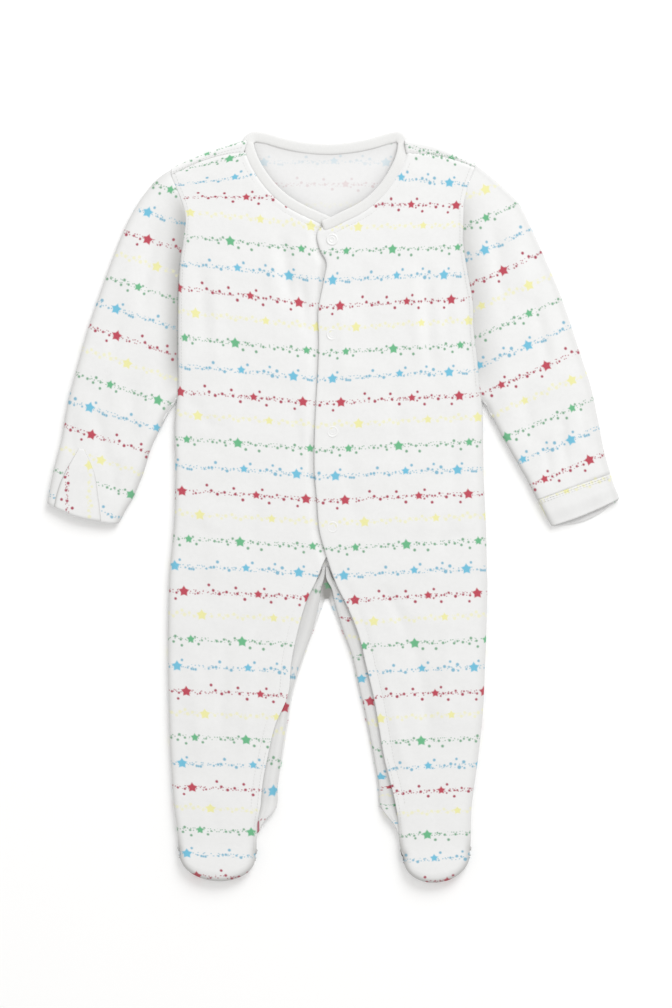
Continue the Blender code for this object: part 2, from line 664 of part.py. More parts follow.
def build_back(material):
    sides = armhole_line(FRONT_RIGHT), armhole_line(FRONT_LEFT)
    side_y = [row.right_y - ARM_SLOPE * ease((row.right_y - ARM_SLOPE_LOW) / ARM_SLOPE_REACH)
              for row in BACK]
    right, left = ([(at_height(line, y), y, side_roll(y)) for y in side_y] for line in sides)
    outlines = right, left[::-1]
    roll_columns = len(ROLL_ANGLES) - 1
    neck_start = roll_columns + 5
    neck_end = neck_start + len(BACK_NECK) - 1
    columns = neck_end + neck_start + 1
    wraps = (shoulder_rows(SHOULDER_RIGHT, FRONT_RIGHT[0], CROWN_RIGHT),
             shoulder_rows(SHOULDER_LEFT, FRONT_LEFT[0], CROWN_LEFT))

    def zone_fraction(k, length):
        """Fraction across one side of the back, from its seam to its middle column."""
        near = [offset / length for offset in roll_offsets(ROLL)]
        if k < len(near):
            return near[k]
        return mix(near[-1], 1.0, (k - roll_columns) / (neck_start - roll_columns))

    def place(column, r):
        """Point of the back at a column of a row."""
        row = BACK[r]
        if neck_start <= column <= neck_end:
            if r == 0:
                return BACK_NECK[column - neck_start]
            t = (column - neck_start) / (neck_end - neck_start)
            return mix(row.right_x, row.left_x, t), mix(row.right_y, row.left_y, t)
        if column < neck_start:
            (side_x, y, _), mid_x, mid_y, k = right[r], row.right_x, row.right_y, column
        else:
            (side_x, y, _), mid_x, mid_y, k = left[r], row.left_x, row.left_y, columns - 1 - column
        t = zone_fraction(k, math.hypot(mid_x - side_x, mid_y - y))
        return mix(side_x, mid_x, t), mix(y, mid_y, t)

    outer, inner = [], []
    wrap_count = len(wraps[0])
    for step in range(wrap_count):
        outer_row, inner_row = [], []
        for column in range(columns):
            right_side = column < columns / 2
            k = min(column if right_side else columns - 1 - column, neck_start)
            point, normal = wraps[0 if right_side else 1][step](zone_fraction(k, SHOULDER_ACROSS))
            outer_row.append(point)
            inner_row.append(moved(point, normal, -CLOTH))
        outer.append(outer_row)
        inner.append(inner_row)
    for r in range(len(BACK)):
        outer_row, inner_row = [], []
        for column in range(columns):
            x, y = place(column, r)
            outline = outlines[0 if column < columns / 2 else 1]
            height, normal = rolled(outline, x, y, 0.0, seam_height(y) - SEAM / 2, ROLL)
            outer_row.append((x, y, height))
            inner_row.append(moved((x, y, height), normal, -CLOTH))
        outer.append(outer_row)
        inner.append(inner_row)

    def keep(r, c):
        in_middle = neck_start <= c < neck_end
        over_neck = r < wrap_count and in_middle
        between_legs = r >= wrap_count + CROTCH_ROW and in_middle
        return not (over_neck or between_legs)

    return cloth_wall("back", outer, inner, material, keep=keep)


def ring_point(ring, w, share, chord_ring, armhole, gap):
    """Point across a sleeve's ring. The first rings take up the armhole's curve."""
    x = mix(ring.outer_x, ring.inner_x, w)
    y = mix(ring.outer_y, ring.inner_y, w) + ring.bow * math.sin(math.pi * w)
    if share > 0.0:
        arm_y = mix(chord_ring.outer_y, chord_ring.inner_y, w)
        arm_x = at_height(armhole, arm_y) + gap
        x += share * (arm_x - mix(chord_ring.outer_x, chord_ring.inner_x, w))
    return x, y


def sleeve_outline(table):
    """Both long edges of a sleeve, each anticlockwise round it."""
    outer = [(ring.outer_x, ring.outer_y, 1.0) for ring in table]
    inner = [(ring.inner_x, ring.inner_y, 1.0) for ring in table]
    return (outer, inner[::-1]) if outer[-1][0] < inner[-1][0] else (outer[::-1], inner)


def tube_loop(points, outline_pair, top_of, middle):
    """Outer and inner points of one ring: over the top from edge to edge, back underneath."""
    outer, inner = [], []
    for over in (True, False):
        ordered = points if over else points[::-1]
        for x, y in ordered[:-1]:
            pick = min(outline_pair, key=lambda line: nearest(line, x, y)[0])
            crown = top_of(x, y) if over else 0.0
            height, normal = rolled(pick, x, y, crown, middle, ROLL)
            outer.append((x, y, height))
            inner.append(moved((x, y, height), normal, -CLOTH))
    return outer, inner


def sleeve_top(crown, armhole, sign):
    """Height of a sleeve's top: it dips where the side of the body lies against it."""
    def top_of(x, y):
        away = sign * (x - at_height(armhole, y))
        tucked = (ease((SLEEVE_TUCK_TOP - y) / SLEEVE_TUCK_REACH)
                  * ease(1.0 - away / SLEEVE_SLOPE))
        return mix(crown, SLEEVE_TUCK, tucked) + fold_height(FOLDS_SLEEVES, x, y) * (1.0 - tucked)
    return top_of


def build_sleeve(name, table, body_table, crown, sign, material):
    armhole = armhole_line(body_table)
    outline_pair = sleeve_outline(table)
    top_of = sleeve_top(crown, armhole, sign)
    outer, inner = [], []
    for i, ring in enumerate(table):
        share = max(0.0, 1.0 - i / ARM_RINGS) ** 2
        length = math.hypot(ring.inner_x - ring.outer_x, ring.inner_y - ring.outer_y)
        points = [ring_point(ring, w, share, table[0], armhole, sign * ARM_GAP)
                  for w in edge_fractions(length, ROLL, SLEEVE_COLUMNS)]
        outer_ring, inner_ring = tube_loop(points, outline_pair, top_of, SEAM_Z)
        outer.append(outer_ring)
        inner.append(inner_ring)
    return cloth_wall(name, outer, inner, material, loop=True)


def build_cuff(name, table, crown, material):
    outline_pair = sleeve_outline(table)
    outer, inner = [], []
    for i, ring in enumerate(table):
        length = math.hypot(ring.inner_x - ring.outer_x, ring.inner_y - ring.outer_y)
        points = [ring_point(ring, w, 0.0, ring, None, 0.0)
                  for w in edge_fractions(length, ROLL, CUFF_COLUMNS)]
        outer_ring, inner_ring = tube_loop(points, outline_pair, lambda x, y: crown, SEAM_Z)
        reach = CUFF_BACK_REACH * (i / (len(table) - 1)) ** 2
        half = len(outer_ring) // 2
        for k in range(half + 1, 2 * half):
            share = math.sin(math.pi * (k - half) / half)
            for ring_points in (outer_ring, inner_ring):
                x, y, z = ring_points[k]
                ring_points[k] = (x + CUFF_LEAN * reach * share, y - reach * share, z)
        outer.append(outer_ring)
        inner.append(inner_ring)
    return cloth_wall(name, outer, inner, material, loop=True)


def build_strip(name, table, bottom_of, thickness, across, material):
    """A flat strip of cloth between two edges, lying on the surface that bottom_of gives."""
    outer, inner = [], []
    for row in table:
        outer_row, inner_row = [], []
        for k in range(across + 1):
            x = mix(row.out_x, row.in_x, k / across)
            y = mix(row.out_y, row.in_y, k / across)
            low = bottom_of(x, y)
            outer_row.append((x, y, low + thickness))
            inner_row.append((x, y, low))
        outer.append(outer_row)
        inner.append(inner_row)
    return cloth_wall(name, outer, inner, material)


def build_binding(material):
    """The neck binding: a rounded strip swept round the neck, its two ends lapped in front."""
    half, thick = BINDING_WIDTH / 2, BINDING_THICK / 2
    flat = half - BINDING_EDGE
    profile = ((-half, 0.0), (-flat, thick), (flat, thick),
               (half, 0.0), (flat, -thick), (-flat, -thick))
    vertices, faces = [], []
    last = len(NECK_CURVE) - 1
    for i, (x, y, z) in enumerate(NECK_CURVE):
        before, after = NECK_CURVE[max(i - 1, 0)], NECK_CURVE[min(i + 1, last)]
        dx, dy = after[0] - before[0], after[1] - before[1]
        length = math.hypot(dx, dy)
        for across, up in profile:
            vertices.append((x - dy / length * across, y + dx / length * across, z + up))
    sides = len(profile)
    for i in range(last):
        for k in range(sides):
            a, b = i * sides + k, i * sides + (k + 1) % sides
            faces.append([a, b, b + sides, a + sides])
    faces.append(list(range(sides)))
    faces.append([last * sides + k for k in range(sides)])
    return make_object("neck_binding", vertices, faces, material)


def build_snap(name, x, y, base, material):
    """Ring cap of a popper: a low turned disc with a raised rim and a sunk middle."""
    profile = ((0.0, 0.0), (SNAP_RADIUS, 0.0), (SNAP_RADIUS, 0.5 * SNAP_HEIGHT),
               (0.86 * SNAP_RADIUS, SNAP_HEIGHT), (0.62 * SNAP_RADIUS, SNAP_HEIGHT),
               (0.5 * SNAP_RADIUS, 0.45 * SNAP_HEIGHT), (0.0, 0.45 * SNAP_HEIGHT))
    sides = SNAP_SIDES
    vertices = [(x, y, base), (x, y, base + profile[-1][1])]
    faces = []
    rings = profile[1:-1]
    for radius, height in rings:
        for k in range(sides):
            angle = 2 * math.pi * k / sides
            vertices.append((x + radius * math.cos(angle), y + radius * math.sin(angle),
                             base + height))
    for k in range(sides):
        n = (k + 1) % sides
        faces.append([0, 2 + n, 2 + k])
        for j in range(len(rings) - 1):
            a, b = 2 + j * sides + k, 2 + j * sides + n
            faces.append([a, b, b + sides, a + sides])
        top = 2 + (len(rings) - 1) * sides
        faces.append([1, top + k, top + n])
    return make_object(name, vertices, faces, material)


def material(name, colour, roughness):
    made = bpy.data.materials.new(name)
    made.use_nodes = True
    shader = made.node_tree.nodes["Principled BSDF"]
    shader.inputs["Base Color"].default_value = (*colour, 1.0)
    shader.inputs["Roughness"].default_value = roughness
    shader.inputs["Metallic"].default_value = 0.0
    return made


def build():
    for old in list(bpy.data.objects):
        bpy.data.objects.remove(old)
    knit = material("white_interlock", (0.87, 0.87, 0.86), 0.9)
    rib = material("white_rib", (0.9, 0.89, 0.87), 0.85)
    plastic = material("white_popper", (0.9, 0.9, 0.9), 0.35)

    build_back(knit)
    build_front("front_right", FRONT_RIGHT, CROWN_RIGHT, 8, True, knit)
    build_front("front_left", FRONT_LEFT, CROWN_LEFT, 9, False, knit)
    build_sole("sole_right", SOLE_RIGHT, knit)
    build_sole("sole_left", SOLE_LEFT, knit)
    build_sleeve("sleeve_right", SLEEVE_RIGHT, FRONT_RIGHT, CROWN_RIGHT, -1.0, knit)
    build_sleeve("sleeve_left", SLEEVE_LEFT, FRONT_LEFT, CROWN_RIGHT, 1.0, knit)
    build_cuff("cuff_left", CUFF_LEFT, CROWN_RIGHT, knit)

    def over_back(x, y):
        return CLOTH + SEAM

    build_strip("leg_placket_right", LEG_STRIP_RIGHT, over_back, TRIM, 2, knit)
    build_strip("leg_placket_left", LEG_STRIP_LEFT, over_back, TRIM, 2, knit)

    right_top = sleeve_top(CROWN_RIGHT, armhole_line(FRONT_RIGHT), -1.0)

    def over_sleeve(x, y):
        return right_top(x, y) + MITT_GAP

    build_strip("mitt_right", MITT_RIGHT, over_sleeve, TRIM, 5, knit)
    build_binding(rib)
    for number, (x, y) in enumerate(SNAPS, start=1):
        build_snap(f"snap_{number}", x, y, CROWN_LEFT + SNAP_GAP, plastic)


build()
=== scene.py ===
"""Looks of the footed baby sleepsuit: knit cloth shells, print, sewing, light and camera.

Sizes are in millimetres in the tables and become metres when a mesh is made. X runs across the
chest to the wearer's left, Y up to the neck and Z up from the surface. Left and right are the
wearer's, so the wearer's right is on the picture's left. A SPAN holds two places: something sets
in at the first and is there in full at the second. A DIP holds a groove's depth and half width.
"""
import math
from collections import namedtuple

import bmesh
import bpy
import numpy as np
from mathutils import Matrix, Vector

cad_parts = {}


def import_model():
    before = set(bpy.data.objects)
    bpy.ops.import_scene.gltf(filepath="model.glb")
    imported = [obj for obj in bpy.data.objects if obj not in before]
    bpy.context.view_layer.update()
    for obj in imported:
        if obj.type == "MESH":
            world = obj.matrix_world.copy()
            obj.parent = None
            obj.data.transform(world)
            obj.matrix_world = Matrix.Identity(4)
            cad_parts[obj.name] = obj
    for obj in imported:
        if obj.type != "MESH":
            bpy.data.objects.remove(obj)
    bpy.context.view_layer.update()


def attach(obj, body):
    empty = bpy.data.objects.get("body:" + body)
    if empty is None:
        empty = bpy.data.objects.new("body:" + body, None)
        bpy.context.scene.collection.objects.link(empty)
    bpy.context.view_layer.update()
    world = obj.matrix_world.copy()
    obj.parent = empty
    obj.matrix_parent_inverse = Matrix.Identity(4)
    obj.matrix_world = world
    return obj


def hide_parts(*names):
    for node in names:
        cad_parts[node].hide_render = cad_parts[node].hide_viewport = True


MM = 0.001
CENTRE_X, CENTRE_Y = -0.25, 0.33    # the tables' middle, which is the frame's origin

# The photograph's frame
PHOTO_WIDTH, PHOTO_HEIGHT = 672, 1008
MM_PER_PIXEL = 0.82
PIXEL_X0, PIXEL_Y0 = 333.5, 507.5   # the pixel where the tables have X = Y = 0

# Heights of the cloth's outer face
CLOTH = 1.1                         # thickness of the shells
SEAM_Z, FOOT_SEAM_Z = 3.1, 3.8
CROWN_RIGHT, CROWN_LEFT, SLEEVE_CROWN, FOOT_CROWN = 6.2, 6.4, 6.2, 7.4
UNDERLAP_TOP = 4.2                  # the right front where the left front covers it
LEG_EDGE_TOP = 5.7
SLEEVE_TUCK = 3.2                   # the sleeve beside the body
STRIP_Z, STRIP_RISE = 2.9, 1.6      # the popper strips, and how they rise at the heel
TOE_LIFT = 2.4
FOLD_DEPTH = 1.5                    # how strongly the creases show

# How cloth rolls over at its outlines
ROLL, ARM_SIDE_ROLL, FOOT_ROLL_WIDTH = 3.1, 1.8, 4.0    # sharper beside the sleeves
SIDE_ROLL_SPAN, FOOT_ROLL_SPAN = (255.0, 215.0), (-245.0, -261.0)
ARM_SIDE_SPAN, SOLE_ROLL_LAG = (110.0, 70.0), 6.0
SIDE_REACH, ROUND_SHARE = 21.0, 0.85    # the soft rise inside the outline, and the roll's share
TUBE_REACH, TUBE_SHARE = 18.2, 0.8
TOE_TUCK, TOE_POINTS = 4.2, 40
TOE_OFFSETS = (3.0, 2.0, 1.2, 0.6, 0.2, 0.0)
EDGE_BULGE = 0.35                   # how far a cut edge rounds out, as a share of the cloth
EDGE_OFFSETS = np.array((0.0, 0.2, 0.6, 1.2, 2.0, 3.0, 4.2, 5.8, 7.6, 9.6))
NARROW = 40.0                       # a section shorter than this has closer edge columns

# Places down the garment where things set in
FOOT_SPAN, TOE_SPAN = (-205.0, -265.0), (-272.0, -306.0)
LEG_SPAN, LAP_END_SPAN, LAP_EDGE_SPAN = (-30.0, -60.0), (-43.0, -57.0), (228.0, 224.0)
HEM_SPAN, FREE_EDGE_TOP = (232.0, 226.0), 232.0
ARM_SLOPE, ARM_SLOPE_SPAN, NECK_CURVE_SPAN = 22.0, (200.0, 293.0), (250.0, 293.0)
TUCK_SPAN, TUCK_WIDTH, ARM_SEAM_LOW = (238.0, 178.0), 24.0, 95.0

# Edges, hems and grooves
LAP_TUCK, LAP_SLOPE = 1.5, 6.5
LEG_EDGE_SPAN = (3.0, 15.0)         # the slope from the inner leg's edge up to the leg's crown
EDGE_DROP, EDGE_ROUND = 0.6, 1.6
HEM_THICK, LEG_HEM = 0.9, 7.5       # what a folded hem adds to the wall, and how wide it is
HEM_DIP, ARM_DIP, ARM_SEAM_DIP = (0.3, 0.8), (0.25, 1.3), (1.3, 1.6)
NECK_DIP = (0.22, 0.7)
SHOULDER_DIP, SHOULDER_GAP = (0.25, 0.12), 0.2      # its width is a share of the way over
CREASE_EDGE, CREASE_END = 9.0, 0.35     # where creases fade: from the outline, and at their ends
NECK_SINK, NECK_SPAN, NECK_REACH = 0.3, (3.3, 5.1), 6.0     # the cloth under the binding
NECK_UNDER, NECK_SEARCH = 1.2, np.arange(-7.0, 8.0, 0.25)
NECK_ROWS = 6                       # rows of a front that end at the neck
ARM_GAP, ARM_RINGS = 1.2, 4.0       # from the body to a sleeve; rings that curve with it
ARMHOLE_RISE, ARMHOLE_SPACING, LINE_SPACING = 20.0, 3.0, 2.0
BACK_LIFT, BACK_SLACK, BACK_CREASES, BACK_SEED = 0.4, 0.35, 0.25, 5.0
STRIP_RISE_SPAN, STRIP_SLACK, STRIP_SEED = (-240.0, -254.0), 0.2, 6.0

# Neck binding, poppers and sewing
BINDING_WIDTH, BINDING_THICK, BINDING_SIDES = 8.8, 2.4, 20
BINDING_SQUARE = 0.7                # 1 is round, 0 square
BINDING_FOLD, FOLD_DIP = -0.8, (0.42, 0.6)
BINDING_END, BINDING_END_ROUND, BINDING_END_WIDE = 0.55, 1.2, 0.3   # its blunt, rounded ends
BINDING_ROUND = 4.0                 # cloth for each radian round the binding
SNAP_RADIUS, SNAP_HEIGHT, SNAP_SIDES, SNAP_MIDDLE = 4.9, 1.3, 48, 0.71
STITCH_PITCH, STITCH_LENGTH, STITCH_WIDTH, STITCH_LIFT = 2.6, 1.9, 0.34, 0.05
NECK_STITCH = 8.6                   # from the binding's middle
ARM_STITCH, HEEL_STITCH = 3.0, 2.4  # how far in from the edge the sewing runs
ARM_SEWN, LEG_SEWN, HEEL_SEWN = (300.0, 96.0), (-50.0, -247.0), (-200.0, -280.0)
SHOULDER_STITCHES = (0.3, 0.7)      # shares of the way from the seam to the shoulder's edge
SHOULDER_SEWN, SHOULDER_POINTS = (0.03, 0.94), 30
CUFF_STITCHES, CUFF_STITCH_LIFT = (2.4, 4.2), 0.15  # how far below the cuff's seam

# Mitt and cuff
MITT_THICK, MITT_LIFT, MITT_RISE, MITT_PUFF = 0.9, 0.15, 0.7, 0.15
MITT_BOW, BOW_SPAN = 2.2, (12.0, -2.0)  # how far the flap's mouth bows down, and where
# MITT_SHADE is painted shade along the flap's edges, as a DIP
MITT_EDGE, MITT_SHADE = 0.05, (0.35, 0.03)
CUFF_BACK_REACH, CUFF_SKEW = 4.5, 0.3   # how far the back of the cuff shows past its front
# The cuff's top from its seam to the mouth, as shares of the way: it swells, then thins and waves
CUFF_LOW, CUFF_SWELL, CUFF_SWELL_END, CUFF_THIN, CUFF_THIN_SPAN = 0.5, 0.7, 0.18, 1.6, (0.5, 1.0)
CUFF_WAVE, CUFF_WAVE_TURN, CUFF_WAVE_SPAN = 0.35, 0.23, (0.4, 1.0)

# Size of the meshes' faces, and columns across each piece
SPACING = 2.2
FRONT_COLUMNS, SOLE_COLUMNS, SLEEVE_COLUMNS, STRIP_COLUMNS, MITT_COLUMNS = 52, 26, 44, 20, 26
BACK_SIDE_COLUMNS, BACK_NECK_COLUMNS = 24, 56
STRIP_SPACING, CUFF_SPACING, BINDING_SPACING, NECK_SPACING = 1.6, 0.9, 1.4, 1.5

# Painted shade: how much darker the cloth's colour is made, 0 to 1, where it lies deep between
# layers, and how widely
RIM_SHADE, TOE_SHADE, RIM_WIDTH, TOE_SHADE_SPAN = 0.16, 0.42, 3.6, (-262.0, -282.0)
LAP_SHADE, LAP_SHADE_TOP, LAP_SHADE_END = 0.2, (231.0, 225.0), (-44.0, -34.0)
LAP_FADE = (0.3, 1.3)               # shares of the gap's width
NECK_SHADE, NECK_SHADE_SPAN = (0.12, 9.0), (225.0, 245.0)
UNDERARM_SHADE, ARM_SHADE_TOP, ARM_SHADE_END = 0.3, (266.0, 236.0), (84.0, 124.0)
ARM_SHADE_FROM, ARM_SHADE_WIDTH, ARM_SHADE_POWER = 1.0, 9.0, 1.6
STRIP_SHADE_SPAN, STRIP_OUT_SHADE = (-170.0, -80.0), (0.22, 0.3)
STRIP_IN_SHADE, STRIP_IN_SPAN = 0.12, (0.8, 1.0)
# Painted shadow: a dark spot painted on the back's inner face in the recess at the crotch, its
# middle, size and amount
PaintedShadowSpot = namedtuple("PaintedShadowSpot", "x y across along amount")
CROTCH_SHADE, CROTCH_FADE = PaintedShadowSpot(-5.5, -65.0, 8.0, 13.0, 0.8), (0.6, 1.2)

Section = namedtuple("Section", "side_x side_y edge_x edge_y bow round", defaults=(0.0, 0.0))
Ring = namedtuple("Ring", "outer_x outer_y inner_x inner_y bow", defaults=(0.0,))
BackRow = namedtuple("BackRow", "right_x left_x y")
StripRow = namedtuple("StripRow", "out_x out_y in_x in_y")
PathPoint = namedtuple("PathPoint", "x y z")
Crease = namedtuple("Crease", "x0 y0 x1 y1 width depth bend")
Gap = namedtuple("Gap", "y width")
Snap = namedtuple("Snap", "x y stand")
Wave = namedtuple("Wave", "length angle height")
Sewn = namedtuple("Sewn", "across depth width")


def table(kind, *rows):
    """Rows of numbers with their columns named."""
    return [kind(*map(float, row)) for row in rows]


# Fronts, from the shoulder seam to the toe: side seam, then neck, lap and inner leg edge.
# bow lifts the middle of a section, round turns it from a chord into a half ellipse.
FRONT_RIGHT = table(Section,
    (-132.5, 272, -74, 289.5, 4.1), (-126, 256, -70.5, 281, 2.5), (-123.5, 249, -64.5, 270, 1.8),
    (-122, 242.5, -57, 260, 1.2), (-122, 233, -49, 251.5, 0.6), (-123, 223.5, -40, 244.5),
    (-123.5, 219, -25.5, 242, -0.5), (-124, 214.5, -9, 236, -1), (-125.5, 204.5, 9, 225, -1.6),
    (-127, 180, 9.5, 199, -1.6), (-127.5, 152, 9.5, 166, -1.6), (-127.5, 125, 9.5, 133, -1.6),
    (-127.5, 98, 9.5, 100.5, -1.6), (-130, 70, 9.5, 70, -1.6), (-129.5, 26.5, 9.5, 29, -1.6),
    (-131, -21, 8, -12, -1), (-133, -40.5, 2, -29.5), (-134.5, -55.5, -7, -42.5),
    (-135, -73.5, -14, -59.5), (-135.5, -94, -22.5, -77.5), (-135.5, -113, -29.5, -102),
    (-135.5, -133, -34.5, -126), (-135, -158, -37.5, -154), (-134.5, -180, -48, -179),
    (-133.5, -203, -53.5, -202), (-132, -227.5, -58, -225), (-130.5, -246.5, -60, -245),
    (-128.5, -261, -62.5, -261), (-127.5, -271, -63, -272.5, -4.9, 0.5),
    (-127, -277, -63, -279, -11.5, 0.9), (-126, -284, -64, -286.5, -20.5, 1))
FRONT_LEFT = table(Section,
    (115.5, 278.5, 60, 289.5, 3.3), (110, 264.5, 56.5, 278, 2.5), (108, 257, 51.5, 267, 1.8),
    (106.5, 249.5, 44.5, 255.5, 1.2), (106.5, 239, 36, 247, 0.6), (106.5, 229, 26.5, 240.5),
    (106.5, 223, 10, 237.5, -0.5), (106.5, 217.5, -5, 231.5, -1), (107.5, 208, -13.2, 225, -1.6),
    (109, 198, -11, 211, -1.6), (111, 186.5, -6, 201.5, -1.6), (114, 170, -8, 185.5, -1.6),
    (115, 144.5, -12.5, 159.5, -1.6), (117.5, 123.5, -12, 137.5, -1.6),
    (119.5, 100.5, -12.5, 116, -1.6), (122, 80, -14, 90, -1.6), (122.5, 51, -15.5, 55.5, -1.6),
    (123, 24, -15.5, 28.5, -1.6), (124, 2, -13.5, 4.5, -1), (125, -21, -11.5, -18.5),
    (125.5, -44.5, -6, -39), (126, -67.5, 2, -62), (125.5, -88, 12, -82.5),
    (125, -108.5, 21, -105.5), (124, -131.5, 26.5, -128.5), (123, -158, 33, -155.5),
    (121, -182.5, 37.5, -181), (118, -208.5, 42, -207), (115, -230, 47, -226.5),
    (113, -246, 51, -243), (112.5, -261, 53, -261), (112.5, -271, 54, -274.5, -6.6, 0.5),
    (112, -277, 55.5, -281, -12.3, 0.9), (111.5, -284, 57.5, -288, -21, 1))

# Back, from the neck to the heels: the two middle columns, which become the inner legs.
# Its sides are those of the fronts.
BACK = table(BackRow,
    (-74.4, 61.6, 293), (-72.5, 59.5, 284), (-71, 58, 274), (-69.5, 56.5, 262), (-67.5, 54, 248),
    (-63.5, 51, 226), (-58.5, 47, 186.5), (-52, 42, 145.5), (-44, 33, 101.5), (-35.5, 25, 67.5),
    (-26, 15, 26.5), (-13.5, 3, -18.5), (-8.5, -2.5, -51), (-7.5, -3.5, -74.5), (-16, 6.5, -99),
    (-24, 14.5, -121), (-33, 21, -149.5), (-38, 27.5, -177.5), (-42.5, 33, -207),
    (-46, 36.5, -228.5), (-47, 37.5, -245.4))
CROTCH_ROW = 13                     # the row of BACK where the legs part
# Back neckline, just under the binding, from the right shoulder to the left, as (x, y).
BACK_NECK = ((-74.4, 293.0), (-64.0, 300.6), (-54.0, 300.8), (-38.0, 296.4), (-21.0, 293.2),
             (-4.5, 292.0), (12.0, 293.2), (27.0, 296.0), (41.0, 299.8), (51.5, 300.6),
             (61.6, 293.0))

# Outline of each shoulder, where the back rolls over to the front: armhole end, neck end, bow.
SHOULDER_RIGHT = Section(-132.5, 278.0, -71.4, 301.0, 1.8)
SHOULDER_LEFT = Section(115.3, 282.5, 58.6, 301.3, 3.6)
SHOULDER_SHARES = (0.0, 0.25, 0.5, 0.75)
WRAP_ANGLES = np.radians(np.arange(90.0, -91.0, -15.0))

# Soles, from the heel seam to the toe. The heel stands out past the leg front's edge.
SOLE_RIGHT = table(Section,
    (-130.5, -245.9, -48.5, -245.9), (-129.5, -251.5, -52, -251), (-129, -258, -58, -258),
    (-128, -267.5, -62.5, -267.5), (-127.5, -274.5, -63, -276, -8.5, 0.6),
    (-126, -284, -64, -286.5, -20.5, 1))
SOLE_LEFT = table(Section,
    (113, -245.9, 38.5, -245.9), (113, -251.5, 43, -251.5), (112.5, -258, 49.5, -258.5),
    (112.5, -267.5, 53.5, -267.5), (112.5, -274.5, 54.5, -277, -10, 0.6),
    (111.5, -284, 57.5, -288, -21, 1))

# Sleeves, from the armhole to the cuff: the shoulder side, then the underarm side.
SLEEVE_RIGHT = table(Ring,
    (-133.1, 277, -128.6, 90), (-143, 270.5, -132, 85), (-155.5, 256, -137.5, 76),
    (-167, 237, -143, 62.5), (-180, 206.5, -148.5, 50.5), (-191, 176, -152, 40),
    (-201, 147, -155, 30), (-210, 115, -158.5, 21), (-217.5, 86.5, -161.5, 13.5),
    (-222.5, 57, -165, 6, 1.6), (-229, 31.5, -169.5, -1, -1), (-232, 17.5, -172.5, -7, -2.5),
    (-234.5, 3.5, -176, -13, -4.1))
SLEEVE_LEFT = table(Ring,
    (116.1, 281.5, 120.6, 90), (125, 274.5, 126, 84), (137.5, 263.5, 130, 75),
    (150.5, 250.5, 134, 66), (163, 226.5, 138, 58), (174, 202, 142.5, 50.5), (185, 176, 146.5, 43),
    (193.5, 152, 150.5, 36.5), (202, 126, 154, 30), (210, 101.5, 158, 23.5), (216.5, 72, 161.5, 16),
    (222, 44.5, 165, 9.5), (226.5, 28, 166.5, 6.5))
CUFF_LEFT = table(Ring,
    (226.3, 28.4, 166.4, 6.9), (230, 17.5, 172.5, -4.5, -0.8), (232.5, 11.5, 176, -11, -1.2),
    (234, 7.5, 178.5, -15, -1.6))

# Middle line of the neck binding: lower end, right neck, back neck, left neck, upper end.
NECK_PATH = table(PathPoint,
    (8, 228, 3.3), (-2, 233, 3.3), (-13.5, 238, 3.4), (-25.5, 243.5, 4.7), (-39, 251.5, 5),
    (-51.5, 263, 5), (-61, 276, 5), (-66.5, 286.5, 4.6), (-69, 294, 3.7), (-69.5, 300, 2.6),
    (-65.5, 303.5, 1.7), (-58.5, 303, 1.3), (-44, 299, 1.3), (-25, 295, 1.3), (-4.5, 293.5, 1.3),
    (15, 295, 1.3), (32.5, 298.5, 1.3), (46.5, 302.5, 1.3), (53, 303.5, 1.7), (56.7, 300, 2.6),
    (56.5, 293, 3.7), (54.5, 285, 4.8), (49, 273.5, 5.2), (40.5, 261, 5.2), (30.5, 251, 5.2),
    (19.5, 243.5, 5.5), (8, 238, 5.8), (-2, 233, 5.8), (-9, 230.5, 5.8))
NECK_MIDDLE = 14                    # its row at the middle of the back neck

# Popper strips inside the legs: the edge under the front, then the free edge.
LEG_STRIP_RIGHT = table(StripRow,
    (-8.8, -49, -7, -49), (-11.5, -56.5, -8, -57.5), (-19, -65, -10.5, -66), (-27.5, -81, -12, -77),
    (-34, -99, -17, -99), (-40.5, -120, -25, -121), (-45, -148, -34, -149),
    (-50.5, -177, -39, -177.5), (-57.5, -206.5, -43.5, -207), (-61, -228, -46.3, -228.5),
    (-62.5, -243, -46.6, -243), (-62.5, -249, -49, -248.5), (-62.5, -255, -54.2, -254),
    (-62.8, -260, -58.6, -259.8), (-63.5, -266, -61.6, -266))
LEG_STRIP_LEFT = table(StripRow,
    (-4.2, -49, -6.2, -49), (-1.5, -57, -5.8, -57.5), (8, -67, -1.5, -66), (18.5, -82, 1, -77),
    (26.5, -102, 7.5, -99), (32, -123, 15.5, -121), (37.5, -150, 22, -149.5),
    (42.5, -178.5, 28.5, -177.5), (47, -207.5, 34, -207), (51, -229, 37.5, -228.5),
    (53.5, -243, 38.5, -243), (53.5, -250, 41.5, -249.5), (53.5, -256, 46.5, -255.5),
    (53.5, -261.5, 50.4, -261), (54.5, -267.5, 53.2, -267.5))

# Scratch mitt folded back over the right cuff: a pointed flap, from its tip to the mouth.
MITT_RIGHT = table(StripRow,
    (-208.5, 48, -204, 47.5), (-214, 39, -199.5, 38), (-219, 30, -195.5, 27.5),
    (-223.5, 20, -193.5, 16.5), (-225.5, 14, -192.5, 8.5), (-227, 8.5, -191.5, 1.5),
    (-228, 3.5, -190.8, -4.5), (-228.3, 2.6, -190.4, -8), (-228.5, 1, -190.2, -10.8))

# Poppers down the placket: centre, and how far the cap stands out of the cloth. A cap's profile
# is a turned disc with a raised rim round a sunk middle: shares of its radius and height.
SNAPS = (Snap(-1.2, 219.3, 0.6), Snap(-1.2, 141.5, 0.18), Snap(-0.8, 62.0, 0.18),
         Snap(-0.8, -16.0, 0.18))
SNAP_PROFILE = ((1.0, 0.0), (1.0, 0.55), (0.985, 0.72), (0.95, 0.88), (0.88, 0.98), (0.8, 1.0),
                (0.74, 0.96), (0.7, 0.86), (0.66, 0.8), (0.54, 0.79), (0.48, 0.82), (0.43, 0.9),
                (0.38, 0.92), (0.33, 0.87), (0.28, 0.76), (0.12, 0.72))
